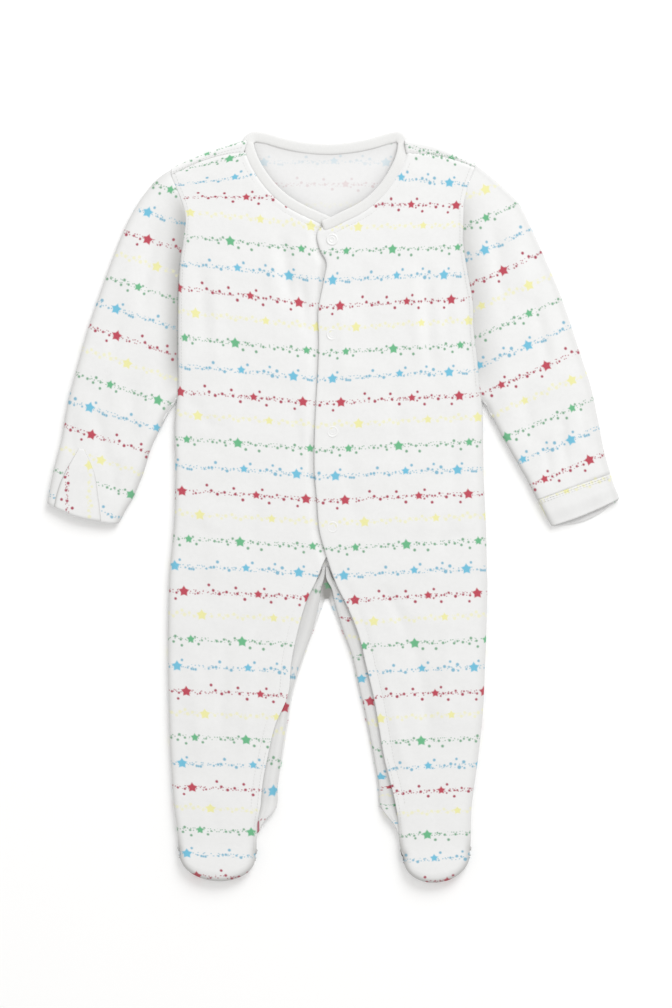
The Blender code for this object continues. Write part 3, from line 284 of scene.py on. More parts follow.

# Width of the painted shadow in the gap beside the lap's edge.
LAP_GAP = table(Gap,
    (226, 1.2), (214, 1.6), (205, 4), (185, 4.8), (165, 2.4), (120, 2), (70, 2), (52, 4.6),
    (30, 4.4), (14, 2.4), (-8, 3.6), (-28, 3.4), (-41, 1.2))

# Creases pressed into the cloth: a line, how wide it is, how far it sinks or rises, and its bend.
CREASES_FRONT_RIGHT = table(Crease,
    (-41, 228, -33, 160, 5, -1.2, 2), (-29, 196, -21, 128, 4, -0.9, -1.5),
    (-52, 236, -45, 150, 7, 0.6, 2), (-17, 182, -10, 92, 4.5, -0.6, 1),
    (-112, 212, -104, 120, 6, -0.8, -2), (-98, 200, -92, 92, 7, 0.5, 2),
    (-76, 150, -70, 60, 6, -0.4, 3), (-34, 95, -28, 15, 5, -0.5, -2),
    (-118, 92, -96, 60, 5, -0.4, 1), (-60, 30, -66, -60, 7, -0.5, 3),
    (-104, 10, -98, -88, 8, 0.5, -3), (-45, -70, -72, -110, 5, -0.5, 2),
    (-84, -90, -92, -205, 6, -0.7, 3), (-66, -120, -78, -222, 5, 0.5, -2),
    (-112, -110, -108, -220, 6, 0.45, 2), (-100, -235, -96, -270, 5, -0.4, 1),
    (-120, -8, -88, -26, 5, -0.35, 2))
CREASES_FRONT_LEFT = table(Crease,
    (77, 212, 84, 92, 6, -0.9, 3), (63, 205, 70, 110, 6, 0.5, -2), (99, 214, 92, 118, 5, -0.7, 2),
    (24, 208, 30, 130, 6, -0.35, 2), (4, 190, 8, 96, 5, 0.4, -1), (46, 120, 54, 18, 7, -0.45, -3),
    (104, 96, 98, -8, 6, -0.5, 2), (12, 60, 20, -30, 6, -0.4, 2), (78, 30, 70, -70, 8, 0.5, -3),
    (38, -60, 62, -112, 5, -0.6, -2), (62, -96, 78, -206, 6, -0.7, -3),
    (96, -84, 92, -196, 6, 0.5, 2), (48, -150, 64, -226, 5, 0.4, 2),
    (86, -232, 82, -270, 5, -0.4, 1), (112, -20, 82, -34, 5, -0.35, 2))
CREASES_SLEEVE_RIGHT = table(Crease,
    (-141, 246, -157, 150, 6, -1, 2), (-156, 240, -176, 165, 7, 0.5, -2),
    (-168, 176, -188, 84, 5, -0.6, 3), (-186, 150, -176, 70, 6, 0.5, 2),
    (-164, 110, -170, 40, 6, -0.6, -2), (-212, 92, -214, 40, 5, -0.7, 2),
    (-198, 90, -184, 20, 5, -0.5, -2), (-176, 44, -181, 6, 4, -0.6, 1),
    (-206, 196, -182, 184, 5, -0.35, 2))
CREASES_SLEEVE_LEFT = table(Crease,
    (128, 244, 138, 150, 6, -0.9, -2), (146, 232, 164, 160, 7, 0.5, 2),
    (160, 182, 178, 92, 5, -0.6, -3), (182, 160, 172, 76, 6, 0.5, -2),
    (158, 104, 164, 46, 6, -0.6, 2), (200, 96, 206, 44, 5, -0.6, -2),
    (188, 88, 192, 24, 4.5, -0.8, 2), (172, 60, 177, 14, 4, -0.6, -1),
    (196, 190, 172, 178, 5, -0.35, 2))
CREASES_BACK = table(Crease,
    (-100, 190, -84, 60, 8, -0.5, 3), (-46, 150, -40, 30, 9, -0.45, -3),
    (30, 170, 40, 40, 8, -0.5, 3), (88, 130, 80, 0, 8, -0.45, -3),
    (-90, -60, -94, -200, 8, -0.45, 3), (76, -60, 82, -200, 8, -0.45, -3))
SLACK_WAVES = table(Wave, (71, 0.3, 0.16), (43, 1.9, 0.14), (27, 2.7, 0.09), (17, 1.2, 0.05))
SEED_PHASE, WAVE_PHASE, SWING, SWING_TURN = 1.7, 2.1, 1.3, 2.3
# Lines of sewing pressed into a popper strip, as shares of its width.
STRIP_SEWN = table(Sewn, (0.45, 0.25, 0.08), (0.8, 0.2, 0.06))

# The print: rows of small stars and dots, 20 mm apart, in four colours that take turns.
ROW_PITCH, REPEAT = 20.0, 100.0
ROW_COLOURS = 4
BIG_STAR, SMALL_STAR = 4.4, 3.4     # from the centre to a point
STAR_WAIST = 0.61                   # a star's inner corners, as a share of its points
PRINT_EDGE = 0.65                   # how far the ink feathers into the knit
# Specks of ink that fill each row: spacing, radius, middle and half width of their band
SPECK_PITCH, SPECK_SIZE, SPECK_MIDDLE, SPECK_REACH = 2.4, 0.42, 0.2, 1.5
SPECK_FALL, PRINT_FUZZ, FUZZ_SCALE = 1.5, 0.5, 1400.0
# Each row of a table puts one red row on a panel: its number, and where two stars that are one
# repeat apart would lie.
PrintRow = namedtuple("PrintRow", "number ax ay bx by")


def level_rows(*rows):
    """Print rows that run straight across, from a number and one star's place."""
    return table(PrintRow, *((number, x, y, x + REPEAT, y) for number, x, y in rows))


PRINT_FRONT_RIGHT = table(PrintRow,
    (0, -130.8, 296.4, -31.6, 353), (0.5, -130.8, 275.1, -31.6, 308.7),
    (0.75, -130.8, 264.4, -31.6, 283.3), (1, -130.8, 253.8, -31.6, 253),
    (1.25, -131.2, 241.5, -32.4, 230), (1.5, -130, 221, -30.7, 210.3),
    (2, -127.1, 180, -28.3, 167.7), (3, -125.5, 94.7, -25, 86.5), (4, -124, 13.5, -22.5, 7),
    (5, -122.4, -68.5, -20.9, -73.8), (6, -120.5, -150.5, -19.3, -155.4),
    (7, -115.6, -229.2, -14.3, -234.1), (8, -111.9, -301.3, -11.1, -306.3),
    (9, -108.2, -381.3, -8.2, -386.3))
PRINT_FRONT_LEFT = table(PrintRow,
    (0, 8.6, 367.8, 102.1, 319.4), (0.5, 8.6, 305.4, 102.1, 283.3),
    (0.75, 8.6, 274.3, 101.3, 265.3), (1, 8.6, 247.2, 100.4, 247.2), (1.5, 6.1, 207.9, 97.2, 211.1),
    (2, 5.3, 164.8, 96.3, 170.1), (3, 6.1, 86.1, 102.9, 91.4), (4, 9.4, 6.1, 110.3, 11.1),
    (5, 17.6, -75.8, 117.7, -70.1), (6, 23.4, -155.4, 123.4, -150.5),
    (7, 28.3, -234.9, 128.3, -230), (8, 33.2, -308.7, 133.2, -303.8),
    (9, 38.1, -388.7, 138.1, -383.8))
PRINT_SLEEVE_RIGHT = table(PrintRow,
    (0, -125, 299.7, -30.4, 268.8), (1, -152.1, 219.3, -57.5, 188.5),
    (2, -177.5, 140.6, -82.9, 109.7), (3, -198, 59.4, -103.4, 28.6),
    (4, -221.8, -13.5, -127.2, -44.4))
PRINT_SLEEVE_LEFT = table(PrintRow,
    (0, 103.7, 272.6, 194.7, 312.9), (1, 139, 193.9, 230, 234.2), (2, 174.2, 116, 265.2, 156.3),
    (3, 209.5, 38.9, 300.5, 79.2), (4, 244.8, -38.1, 335.7, 2.1))
PRINT_CUFF = table(PrintRow,
    (2, 174.2, 116, 265.2, 156.3), (3, 209.5, 38.9, 300.5, 79.2), (3.4, 223.6, 8.1, 314.6, 48.4),
    (3.5, 231.8, -9.9, 322.8, 30.4), (4, 252.8, -55.7, 343.8, -15.4))
PRINT_SHOULDER_RIGHT = table(PrintRow,
    (0, -120.2, 325.4, -25.2, 356.4), (1, -95.4, 249.4, -0.4, 280.4))
PRINT_SHOULDER_LEFT = table(PrintRow,
    (0, 102.9, 323.3, 198.7, 294.5), (1, 79.9, 246.6, 175.7, 217.9))
PRINT_STRIP_RIGHT = level_rows(
    (1.25, -40, -38), (1.5, -40, -71), (1.75, -40, -136.5), (2, -39.9, -163.6), (2.75, -42.3, -232),
    (3, -50, -257))
PRINT_STRIP_LEFT = level_rows(
    (0.5, 30, -60), (1, 30, -91.4), (1.75, 30, -140.2), (2, 29.9, -158.7), (2.75, 46.3, -221.4),
    (3.5, 46.3, -244.4), (4, 46.3, -270))
PRINT_BACK = level_rows(
    (-1, -50, 337.8), (0, -50, 264.5), (8, -50, -321.9))
# The mitt is cut the other way, so its rows of print run down it: x of a red row and y of one
# of its stars.
MITT_ROW_X, MITT_STAR_Y = -217.7, 48.5

# One repeat of each colour, charted: dots after the big star, as (x, y, radius).
DOTS_RED = ((9, -1.7, .5), (11.2, -1, .8), (20.2, 6.1, 1.1), (23.7, 1.9, 1.1), (28.6, -.7, 1.2),
            (31.5, .5, .5), (34.4, 1.1, 1.1), (41.9, 4.8, 1.1), (43.1, .2, 1.1), (49, -4, 1.2),
            (50, .9, .7), (54.2, .7, .7), (64.9, 5.2, 1), (66.5, 0, .9), (64.2, -2, .7),
            (70.2, -5.2, 1.1), (70.6, 0, .8), (73, 0, .8), (76.7, 1.7, .9), (82.1, -1.5, 1.2),
            (83.4, .9, .7), (88.4, -.5, .9), (93.1, -6.2, 1), (94, -1.4, .9))
DOTS_YELLOW = ((8, -.8, .7), (14, .6, .8), (17.5, -1.8, .6), (21, .4, .9), (26, 1.8, .8),
               (29, -.6, .7), (33, -1.6, .9), (37, .8, .7), (42, .2, 1), (47, 2.2, .7),
               (50, -.8, .8), (54, .4, .6), (66, -1.2, .8), (69, 1.6, .7), (73, .2, .9),
               (77, -2, .7), (80, 1, .9), (84, 3, .8), (86, -.4, 1), (90, 1.2, .7), (94, -1.4, .7))
DOTS_GREEN = ((6.3, -4.7, 1), (8.4, 1.3, .6), (10.3, .4, .7), (14.3, -.7, .9), (17.1, -5.2, 1),
              (23.1, -.8, .9), (32.1, -1.6, .9), (34.9, 0, .7), (39.3, -1.1, .9), (44.6, -2.6, .9),
              (46.1, 1.8, 1), (50.5, -.6, .8), (51.2, -5.3, .9), (59.5, -1.9, .7), (62, 1.9, .7),
              (64.8, -3.7, .9), (67.6, -.6, .6), (79.5, -.5, .9), (82.9, -.9, .6), (85.4, 1, .8),
              (89.3, -.3, .8), (90.1, -2.6, .8), (94.1, 2.4, .8))
DOTS_BLUE = ((4.1, 5, .9), (8.6, -.9, .6), (11.8, -1.7, .9), (13.3, -1.9, .8), (15, -2, .9),
             (25.6, -.9, .7), (29.1, .3, .9), (31.6, .6, 1), (34.6, 4.9, 1.1), (40.2, .2, .8),
             (43.8, -1.3, 1.1), (49.3, .8, .6), (61.1, -.9, .6), (62.7, 5.7, 1), (70.7, .8, .9),
             (76, 1.9, 1.1), (79.6, 1.4, .7), (80.9, 5.7, .9), (82.8, -1.2, 1.4), (86.7, 3, 1.2),
             (87, -2, .7), (93.7, -1.1, .7))
Ink = namedtuple("Ink", "shift lift spread small_x small_y star_colour dot_colour dots")
INKS = (    # in order down the cloth, from the red row
    Ink(0.0, 0.0, 0.06, 59.9, 0.6, (0.44, 0.035, 0.065), (0.35, 0.035, 0.07), DOTS_RED),
    Ink(14.0, 1.8, 0.45, 58.0, 0.4, (0.74, 0.72, 0.33), (0.745, 0.735, 0.52), DOTS_YELLOW),
    Ink(46.1, 2.0, 0.16, 58.6, 0.0, (0.11, 0.41, 0.20), (0.16, 0.34, 0.21), DOTS_GREEN),
    Ink(-7.0, 0.0, 0.14, 57.5, 1.3, (0.13, 0.45, 0.62), (0.19, 0.41, 0.54), DOTS_BLUE),
)
INK_INSIDE = 0.2                    # how much of the print shows through on the inner face
INK_IN_PAINTED_SHADE = 0.6                      # how much of the painted shade between layers darkens the ink

INK_GRAIN, INK_LEAST = 0.35, 0.78   # how the fine grain of the knit thins the ink

# Cloth in the materials
WALE, COURSE, RIB_PITCH = 0.9, 1.1, 1.3     # spacing of the knit's columns and rows of loops
MOTTLE_SCALE, GRAIN_SCALE, RIB_MOTTLE_SCALE = 260.0, 2600.0, 500.0
LOOP_HEIGHT, GRAIN_HEIGHT, MOTTLE_HEIGHT, RIB_HEIGHT = 0.12, 0.5, 0.8, 0.5
KNIT_BUMP, RIB_BUMP, PLAIN_BUMP, CLOTH_RELIEF = 0.35, 0.22, 0.3, 0.00025
PAINTED_SHADE_COLOUR = (0.14, 0.135, 0.12)    # painted shade: the dark colour that cloth lying deep between layers is mixed towards

# Camera and light, in metres
CAMERA_HEIGHT = 3.0                 # a long lens, straight down
WORLD_STRENGTH, KEY_ENERGY, KEY_SIZE = 0.86, 66.0, 2.0
KEY_PLACE = (1.2, 2.4, 2.0)         # up the picture and to its right
FLOOR_GLOW = 0.06                   # a light table's glow
FLOOR_HALF, FLOOR_DROP = 5.0, -0.0003

# The flat cut of what shows of a piece, in metres; a tube's is all round. No piece here is given
# one.
Sheet = namedtuple("Sheet", "width length area")


# ---- curves and grids as arrays ----

def ease(t):
    """0 below 0, 1 above 1, and a smooth rise between."""
    t = np.clip(t, 0.0, 1.0)
    return t * t * (3.0 - 2.0 * t)


def ramp(value, start, stop):
    """0 up to start and 1 from stop on, whichever of them is larger."""
    return ease((value - start) / (stop - start))


def mix(a, b, t):
    return a + (b - a) * t


def dip(distance, depth, width):
    """A smooth groove or ridge along a line."""
    return depth * np.exp(-(distance / width) ** 2)


def round_over(t):
    """Quarter circle: 0 at 0 with an upright start, 1 from 1 on."""
    return np.sqrt(1.0 - (1.0 - np.clip(t, 0.0, 1.0)) ** 2)


def unit(steps):
    """Steps made one long."""
    return steps / np.maximum(np.linalg.norm(steps, axis=-1, keepdims=True), 1e-6)


def resample(rows, spacing, placed=4):
    """Smooth curve through rows of numbers, at about even spacing of their placed columns."""
    rows = np.array(rows, dtype=float)
    moves = np.diff(rows[:, :placed], axis=0)
    steps = np.maximum(np.linalg.norm(moves, axis=1) / math.sqrt(placed / 2), 1e-6)
    reach = np.concatenate(([0.0], np.cumsum(steps)))
    slope = np.gradient(rows, reach, axis=0)
    count = max(2, int(round(reach[-1] / spacing)) + 1)
    where = np.linspace(0.0, reach[-1], count)
    span = np.clip(np.searchsorted(reach, where, side="right") - 1, 0, len(rows) - 2)
    h = steps[span][:, None]
    t = ((where - reach[span]) / steps[span])[:, None]
    return ((1 + 2 * t) * (1 - t) ** 2 * rows[span] + t * (1 - t) ** 2 * h * slope[span]
            + t * t * (3 - 2 * t) * rows[span + 1] + t * t * (t - 1) * h * slope[span + 1])


def nearest(line, x, y):
    """For many points: distance to a line of rows (x, y, value, ...), and the values there."""
    line = np.asarray(line, dtype=float)
    a, step = line[:-1], np.diff(line, axis=0)
    length2 = np.maximum((step[:, :2] ** 2).sum(axis=1), 1e-9)
    flat_x, flat_y = np.ravel(x), np.ravel(y)
    distance = np.empty(flat_x.size)
    values = np.empty((flat_x.size, line.shape[1] - 2))
    at_once = 4000
    for start in range(0, flat_x.size, at_once):
        part = slice(start, start + at_once)
        px = flat_x[part, None] - a[:, 0]
        py = flat_y[part, None] - a[:, 1]
        t = np.clip((px * step[:, 0] + py * step[:, 1]) / length2, 0.0, 1.0)
        gap2 = (px - step[:, 0] * t) ** 2 + (py - step[:, 1] * t) ** 2
        best = gap2.argmin(axis=1)
        rows = np.arange(best.size)
        distance[part] = np.sqrt(gap2[rows, best])
        values[part] = a[best, 2:] + step[best, 2:] * t[rows, best][:, None]
    shape = np.shape(x)
    return distance.reshape(shape), [column.reshape(shape) for column in values.T]


def along_line(line, y):
    """X of a line of (x, y) rows that runs down the garment, at many heights."""
    line = np.asarray(line, dtype=float)
    return np.interp(-np.asarray(y), -line[:, 1], line[:, 0])


def crease_height(creases, x, y):
    """How far the creases lift or lower the cloth at many points."""
    height = np.zeros(np.shape(x))
    for crease in creases:
        dx, dy = crease.x1 - crease.x0, crease.y1 - crease.y0
        length2 = dx * dx + dy * dy
        t = ((x - crease.x0) * dx + (y - crease.y0) * dy) / length2
        away = ((x - crease.x0) * dy - (y - crease.y0) * dx) / math.sqrt(length2)
        inside = np.clip(t, 0.0, 1.0)
        away = away - crease.bend * 4.0 * inside * (1.0 - inside)
        ends = ease(t / CREASE_END) * ease((1.0 - t) / CREASE_END)
        height = height + ends * dip(away, crease.depth, crease.width)
    return height


def slack(x, y, seed):
    """The gentle unevenness of cloth that lies loose: waves that run along wavy lines."""
    height = np.zeros(np.shape(x))
    for i, wave in enumerate(SLACK_WAVES):
        phase = seed * SEED_PHASE + i * WAVE_PHASE
        turn = x * math.cos(wave.angle) + y * math.sin(wave.angle)
        cross = y * math.cos(wave.angle) - x * math.sin(wave.angle)
        swing = SWING * np.sin(cross / wave.length * SWING_TURN + phase)
        height = height + wave.height * np.sin(turn * 2 * math.pi / wave.length + phase + swing)
    return height


def footness(y):
    """0 on the leg, 1 on the foot."""
    return ramp(y, *FOOT_SPAN)


def toe_lift(y):
    return TOE_LIFT * ramp(y, *TOE_SPAN)


def crown_height(y, crown):
    return mix(crown, FOOT_CROWN, footness(y)) + toe_lift(y)


def seam_height(y):
    return mix(SEAM_Z, FOOT_SEAM_Z, footness(y)) + toe_lift(y)


def side_roll(y):
    return ramp(y, *SIDE_ROLL_SPAN)


def foot_roll(y):
    return ramp(y, *FOOT_ROLL_SPAN)


def fractions_across(rows, middle):
    """Fractions along each row's section: close together at both edges, even between."""
    length = np.hypot(rows[:, 2] - rows[:, 0], rows[:, 3] - rows[:, 1])[:, None]
    near = EDGE_OFFSETS * np.minimum(1.0, length / NARROW) / length
    start = near[:, -1:]
    share = np.arange(1, middle) / middle
    return np.concatenate((near, mix(start, 1.0 - start, share), 1.0 - near[:, ::-1]), axis=1)


def section_points(rows, w):
    """Points across sections; rows has the columns side x, y, edge x, y, bow and round."""
    side_x, side_y, edge_x, edge_y, bow, rounded = (rows[:, i:i + 1] for i in range(6))
    along = mix(w, 0.5 - 0.5 * np.cos(math.pi * w), rounded)
    return mix(side_x, edge_x, along), mix(side_y, edge_y, along) + bow * np.sin(math.pi * w)


def one_section(row, w):
    """The same for one section."""
    x, y = section_points(np.array([row], dtype=float), w[None, :])
    return x[0], y[0]


def grid_normals(points, loop=False):
    """Normals of a grid of points, up from the side that its rows and columns run to."""
    if loop:
        wide = np.concatenate((points[:, -1:], points, points[:, :1]), axis=1)
        across = wide[:, 2:] - wide[:, :-2]
    else:
        across = np.gradient(points, axis=1)
    normal = np.cross(np.gradient(points, axis=0), across)
    size = np.linalg.norm(normal, axis=2, keepdims=True)
    return np.where(size > 1e-6, normal / np.maximum(size, 1e-6), np.array((0.0, 0.0, 1.0)))


def shell(x, y, z, facing):
    """Points of an outer face that looks up (1) or down (-1), its normals and its inner face."""
    outer = np.stack((x, y, z), axis=2)
    normal = grid_normals(outer)
    normal = facing * normal * np.sign(normal[..., 2:3] + 1e-9)
    return outer, normal, outer - normal * CLOTH


def opened(points, normals):
    """Where each point lies on the cloth when what goes down over an edge is opened out flat."""
    lean = np.maximum(np.hypot(normals[..., 0], normals[..., 1]), 1e-6)
    reach = ROLL * (np.arcsin(np.minimum(lean, 1.0)) - lean) / lean
    return points[..., 0] + normals[..., 0] * reach, points[..., 1] + normals[..., 1] * reach


def grid_quads(rows, columns, loop=False, keep=None):
    """Faces between the points of a grid, as point numbers."""
    width = columns if loop else columns - 1
    r, c = np.meshgrid(np.arange(rows - 1), np.arange(width), indexing="ij")
    right = (c + 1) % columns
    quads = np.stack((r * columns + c, r * columns + right,
                      (r + 1) * columns + right, (r + 1) * columns + c), axis=2)
    return quads.reshape(-1, 4) if keep is None else quads[keep]


def print_place(rows, x, y):
    """Where many points lie on the printed cloth: along a row and down it, in millimetres."""
    number, ax, ay, bx, by = np.array(rows, dtype=float).T
    near_x = np.interp(-y, -ay, ax)
    share = (x - near_x) / (np.interp(-y, -by, bx) - near_x)
    down = mix(np.interp(-y, -ay, number), np.interp(-y, -by, number), share)
    return np.stack((share * REPEAT, down * ROW_PITCH * ROW_COLOURS), axis=-1)


def mitt_place(x, y):
    """The same for the mitt, whose rows of print run down the garment."""
    return np.stack((MITT_STAR_Y - y, x - MITT_ROW_X), axis=-1)


# ---- meshes ----

def make_object(name, points, faces, materials, face_materials=None, uv=None, shade=None):
    """One named object from points in millimetres in the tables' place."""
    mesh = bpy.data.meshes.new(name)
    placed = (np.asarray(points, dtype=float) - (CENTRE_X, CENTRE_Y, 0.0)) * MM
    mesh.from_pydata(placed.tolist(), [], [list(map(int, face)) for face in faces])
    for material in materials:
        mesh.materials.append(material)
    if face_materials is not None:
        mesh.polygons.foreach_set("material_index", np.asarray(face_materials, dtype=np.int32))
    if uv is not None:
        layer = mesh.uv_layers.new(name="cloth")
        corners = np.empty(len(mesh.loops), dtype=np.int32)
        mesh.loops.foreach_get("vertex_index", corners)
        layer.data.foreach_set("uv", (np.asarray(uv)[corners] * MM).astype(np.float32).ravel())
    if shade is not None:
        # painted shade: how much each point's colour is darkened, read by the knit material
        painted_shade_values = mesh.attributes.new("shade", "FLOAT", "POINT")
        painted_shade_values.data.foreach_set("value", np.asarray(shade, dtype=np.float32))
    form = bmesh.new()
    form.from_mesh(mesh)
    bmesh.ops.recalc_face_normals(form, faces=form.faces)
    form.to_mesh(mesh)
    form.free()
    mesh.shade_smooth()
    piece = bpy.data.objects.new(name, mesh)
    bpy.context.collection.objects.link(piece)
    return piece


def cloth(name, outer, inner, place, materials, shade=None, inner_shade=None, quads=None):
    """A wall of cloth between two grids of points, its free edges rounded.

    place gives each point's spot on the printed cloth. The inner face has its own material.
    The shades are painted shade: how much darker the cloth's colour is made where it lies deep
    between layers."""
    if quads is None:
        quads = grid_quads(*outer.shape[:2])
    used, quads = np.unique(quads, return_inverse=True)
    quads = quads.reshape(-1, 4)
    outer, inner = outer.reshape(-1, 3)[used], inner.reshape(-1, 3)[used]
    place = place.reshape(-1, 2)[used]
    count = len(used)
    shade = np.zeros(count) if shade is None else shade.reshape(-1)[used]
    inner_shade = shade if inner_shade is None else inner_shade.reshape(-1)[used]
    edges = np.concatenate([quads[:, [i, (i + 1) % 4]] for i in range(4)])
    key = edges.min(axis=1) * count + edges.max(axis=1)
    _, which, times = np.unique(key, return_inverse=True, return_counts=True)
    rim = edges[times[which] == 1]
    centres = outer[quads].mean(axis=1)
    total = np.zeros((count, 3))
    faces_at = np.zeros(count)
    for i in range(4):
        np.add.at(total, quads[:, i], centres)
        np.add.at(faces_at, quads[:, i], 1.0)
    outward = unit(outer - total / faces_at[:, None])
    on_rim = np.unique(rim)
    wall = outer - inner
    thick = np.linalg.norm(wall, axis=1, keepdims=True)
    outward -= (outward * wall).sum(axis=1, keepdims=True) / np.maximum(thick ** 2, 1e-9) * wall
    middle = (outer + inner) / 2 + outward * thick * EDGE_BULGE
    middle_index = np.full(count, -1)
    middle_index[on_rim] = 2 * count + np.arange(len(on_rim))
    points = np.concatenate((outer, inner, middle[on_rim]))
    uv = np.concatenate((place, place, place[on_rim]))
    painted_shade_values = np.concatenate((shade, inner_shade, shade[on_rim]))
    a, b = rim[:, 0], rim[:, 1]
    upper = np.stack((b, a, middle_index[a], middle_index[b]), axis=1)
    lower = np.stack((middle_index[b], middle_index[a], a + count, b + count), axis=1)
    faces = np.concatenate((quads, quads[:, ::-1] + count, upper, lower))
    inside = np.zeros(len(faces), dtype=np.int32)
    inside[len(quads):2 * len(quads)] = 1
    return make_object(name, points, faces, materials, inside, uv, painted_shade_values)


# ---- the two sides of the garment ----

LAP_LINE = [(row.edge_x, row.edge_y) for row in FRONT_LEFT[8:22]]
NECK_RIGHT = resample(NECK_PATH[:NECK_MIDDLE + 1], LINE_SPACING, 2)
NECK_LEFT = resample(NECK_PATH[NECK_MIDDLE:], LINE_SPACING, 2)

# out is the way from the body to the sleeve along X. The neck is sewn from sewn_x outwards, and
# below sewn_y. A seed varies the slack of a piece. arm_shade is the painted shade on the sleeve
# beside the body, and strip_shades are the painted shade of the popper strip low and high on the
# leg.
Side = namedtuple("Side", "name out front crown creases seed front_print shoulder shoulder_print "
                          "neck sewn_x sewn_y sole sleeve arm_creases arm_seed arm_shade arm_print "
                          "strip strip_print strip_shades")
SIDES = (
    Side("right", -1.0, FRONT_RIGHT, CROWN_RIGHT, CREASES_FRONT_RIGHT, 1.0, PRINT_FRONT_RIGHT,
         SHOULDER_RIGHT, PRINT_SHOULDER_RIGHT, NECK_RIGHT, 16.0, 287.0, SOLE_RIGHT, SLEEVE_RIGHT,
         CREASES_SLEEVE_RIGHT, 3.0, 0.5, PRINT_SLEEVE_RIGHT, LEG_STRIP_RIGHT, PRINT_STRIP_RIGHT,
         (0.08, 0.17)),
    Side("left", 1.0, FRONT_LEFT, CROWN_LEFT, CREASES_FRONT_LEFT, 2.0, PRINT_FRONT_LEFT,
         SHOULDER_LEFT, PRINT_SHOULDER_LEFT, NECK_LEFT, -16.0, 285.0, SOLE_LEFT, SLEEVE_LEFT,
         CREASES_SLEEVE_LEFT, 4.0, 0.25, PRINT_SLEEVE_LEFT, LEG_STRIP_LEFT, PRINT_STRIP_LEFT,
         (0.11, 0.15)),
)


# ---- fronts, soles and back ----

def panel_rows(sections):
    """A front's or sole's sections, closer together, with the toe's edge rolled over."""
    last = sections[-1]

    def raised(offset):
        return last._replace(side_y=last.side_y + offset, edge_y=last.edge_y + offset)

    rows = resample(list(sections[:-1]) + [raised(TOE_TUCK)], SPACING, 5)
    return np.concatenate((rows, np.array([raised(offset) for offset in TOE_OFFSETS])))


def panel_outline(rows, side_share, edge_share):
    """Outline of a front or sole, with how far the cloth rolls over at each point."""
    side = np.column_stack((rows[:, 0:2], side_share(rows[:, 1])))
    edge = np.column_stack((rows[:, 2:4], edge_share(rows[:, 3])))
    toe_x, toe_y = one_section(rows[-1], np.linspace(0.02, 0.98, TOE_POINTS))
    toe = np.column_stack((toe_x, toe_y, np.ones(TOE_POINTS)))
    return np.concatenate((side, toe, edge[::-1]))


def under_binding(sections, neck_line):
    """The sections with their neck ends moved to lie under the neck binding."""
    moved = []
    for row in sections[:NECK_ROWS]:
        side, edge = np.array(row[0:2]), np.array(row[2:4])
        tried = edge + unit(side - edge) * NECK_SEARCH[:, None]
        closest = nearest(neck_line, tried[:, 0], tried[:, 1])[0].argmin()
        end = edge + unit(side - edge) * (NECK_SEARCH[closest] + NECK_UNDER)
        moved.append(row._replace(edge_x=end[0], edge_y=end[1]))
    return moved + list(sections[NECK_ROWS:])


def front_height(side, sections):
    """Functions for the height of a front's outer face, and what its hems add below."""
    rows = panel_rows(sections)
    outline = panel_outline(rows, side_roll, foot_roll)
    free_edge = rows[rows[:, 3] < FREE_EDGE_TOP][:, 2:4]
    underlap = side.name == "right"

    def height_at(x, y):
        distance, (roll,) = nearest(outline, x, y)
        foot = footness(y)
        top = crown_height(y, side.crown)
        width = mix(mix(ARM_SIDE_ROLL, ROLL, ramp(y, *ARM_SIDE_SPAN)), FOOT_ROLL_WIDTH, foot)
        rise = mix(ease(distance / SIDE_REACH), round_over(distance / width), ROUND_SHARE)
        height = mix(mix(top, seam_height(y), roll), top, rise)
        uneven = FOLD_DEPTH * crease_height(side.creases, x, y) + slack(x, y, side.seed)
        height = height + uneven * ease(distance / CREASE_EDGE) * (1.0 - 0.5 * foot)
        height = height - dip(distance, *ARM_DIP) * (1.0 - roll)
        if underlap:
            bare = ease((along_line(LAP_LINE, y) - LAP_TUCK - x) / LAP_SLOPE)
            height = mix(UNDERLAP_TOP, height, np.maximum(bare, ramp(y, *LAP_END_SPAN)))
        from_edge, _ = nearest(free_edge, x, y)
        leg = ramp(y, *LEG_SPAN) * (1.0 - foot)
        laid = np.minimum(height, mix(LEG_EDGE_TOP, height, ramp(from_edge, *LEG_EDGE_SPAN)))
        height = mix(height, laid, leg) - leg * dip(from_edge - LEG_HEM, *HEM_DIP)
        edge = leg if underlap else np.maximum(leg, ramp(y, *LAP_EDGE_SPAN) * (1.0 - foot))
        height = height - EDGE_DROP * edge * (1.0 - round_over(from_edge / EDGE_ROUND))
        from_neck, (neck_z,) = nearest(side.neck, x, y)
        into_binding = mix(neck_z + NECK_SINK, height, ramp(from_neck, *NECK_SPAN))
        height = np.where(from_neck < NECK_REACH, np.minimum(height, into_binding), height)
        return height - dip(from_neck - NECK_STITCH, *NECK_DIP)

    def hem_at(x, y):
        from_edge, _ = nearest(free_edge, x, y)
        hemmed = ramp(y, *HEM_SPAN) * (1.0 - footness(y))
        return HEM_THICK * hemmed * ramp(from_edge, LEG_HEM + 1.0, LEG_HEM - 1.0)

    return height_at, hem_at


def rim_shade(outline, x, y):
    """Painted shade where the cloth turns under at the outline, darkest at the toe."""
    distance, (roll,) = nearest(outline, x, y)
    return roll * dip(distance, mix(RIM_SHADE, TOE_SHADE, ramp(y, *TOE_SHADE_SPAN)), RIM_WIDTH)


def lap_shade(x, y):
    """Painted shadow on the right front beside the left front's edge."""
    away = along_line(LAP_LINE, y) - x
    width = along_line([(gap.width, gap.y) for gap in LAP_GAP], y)
    shade = 1.0 - ramp(away / width, *LAP_FADE)
    return LAP_SHADE * shade * ramp(y, *LAP_SHADE_TOP) * ramp(y, *LAP_SHADE_END)


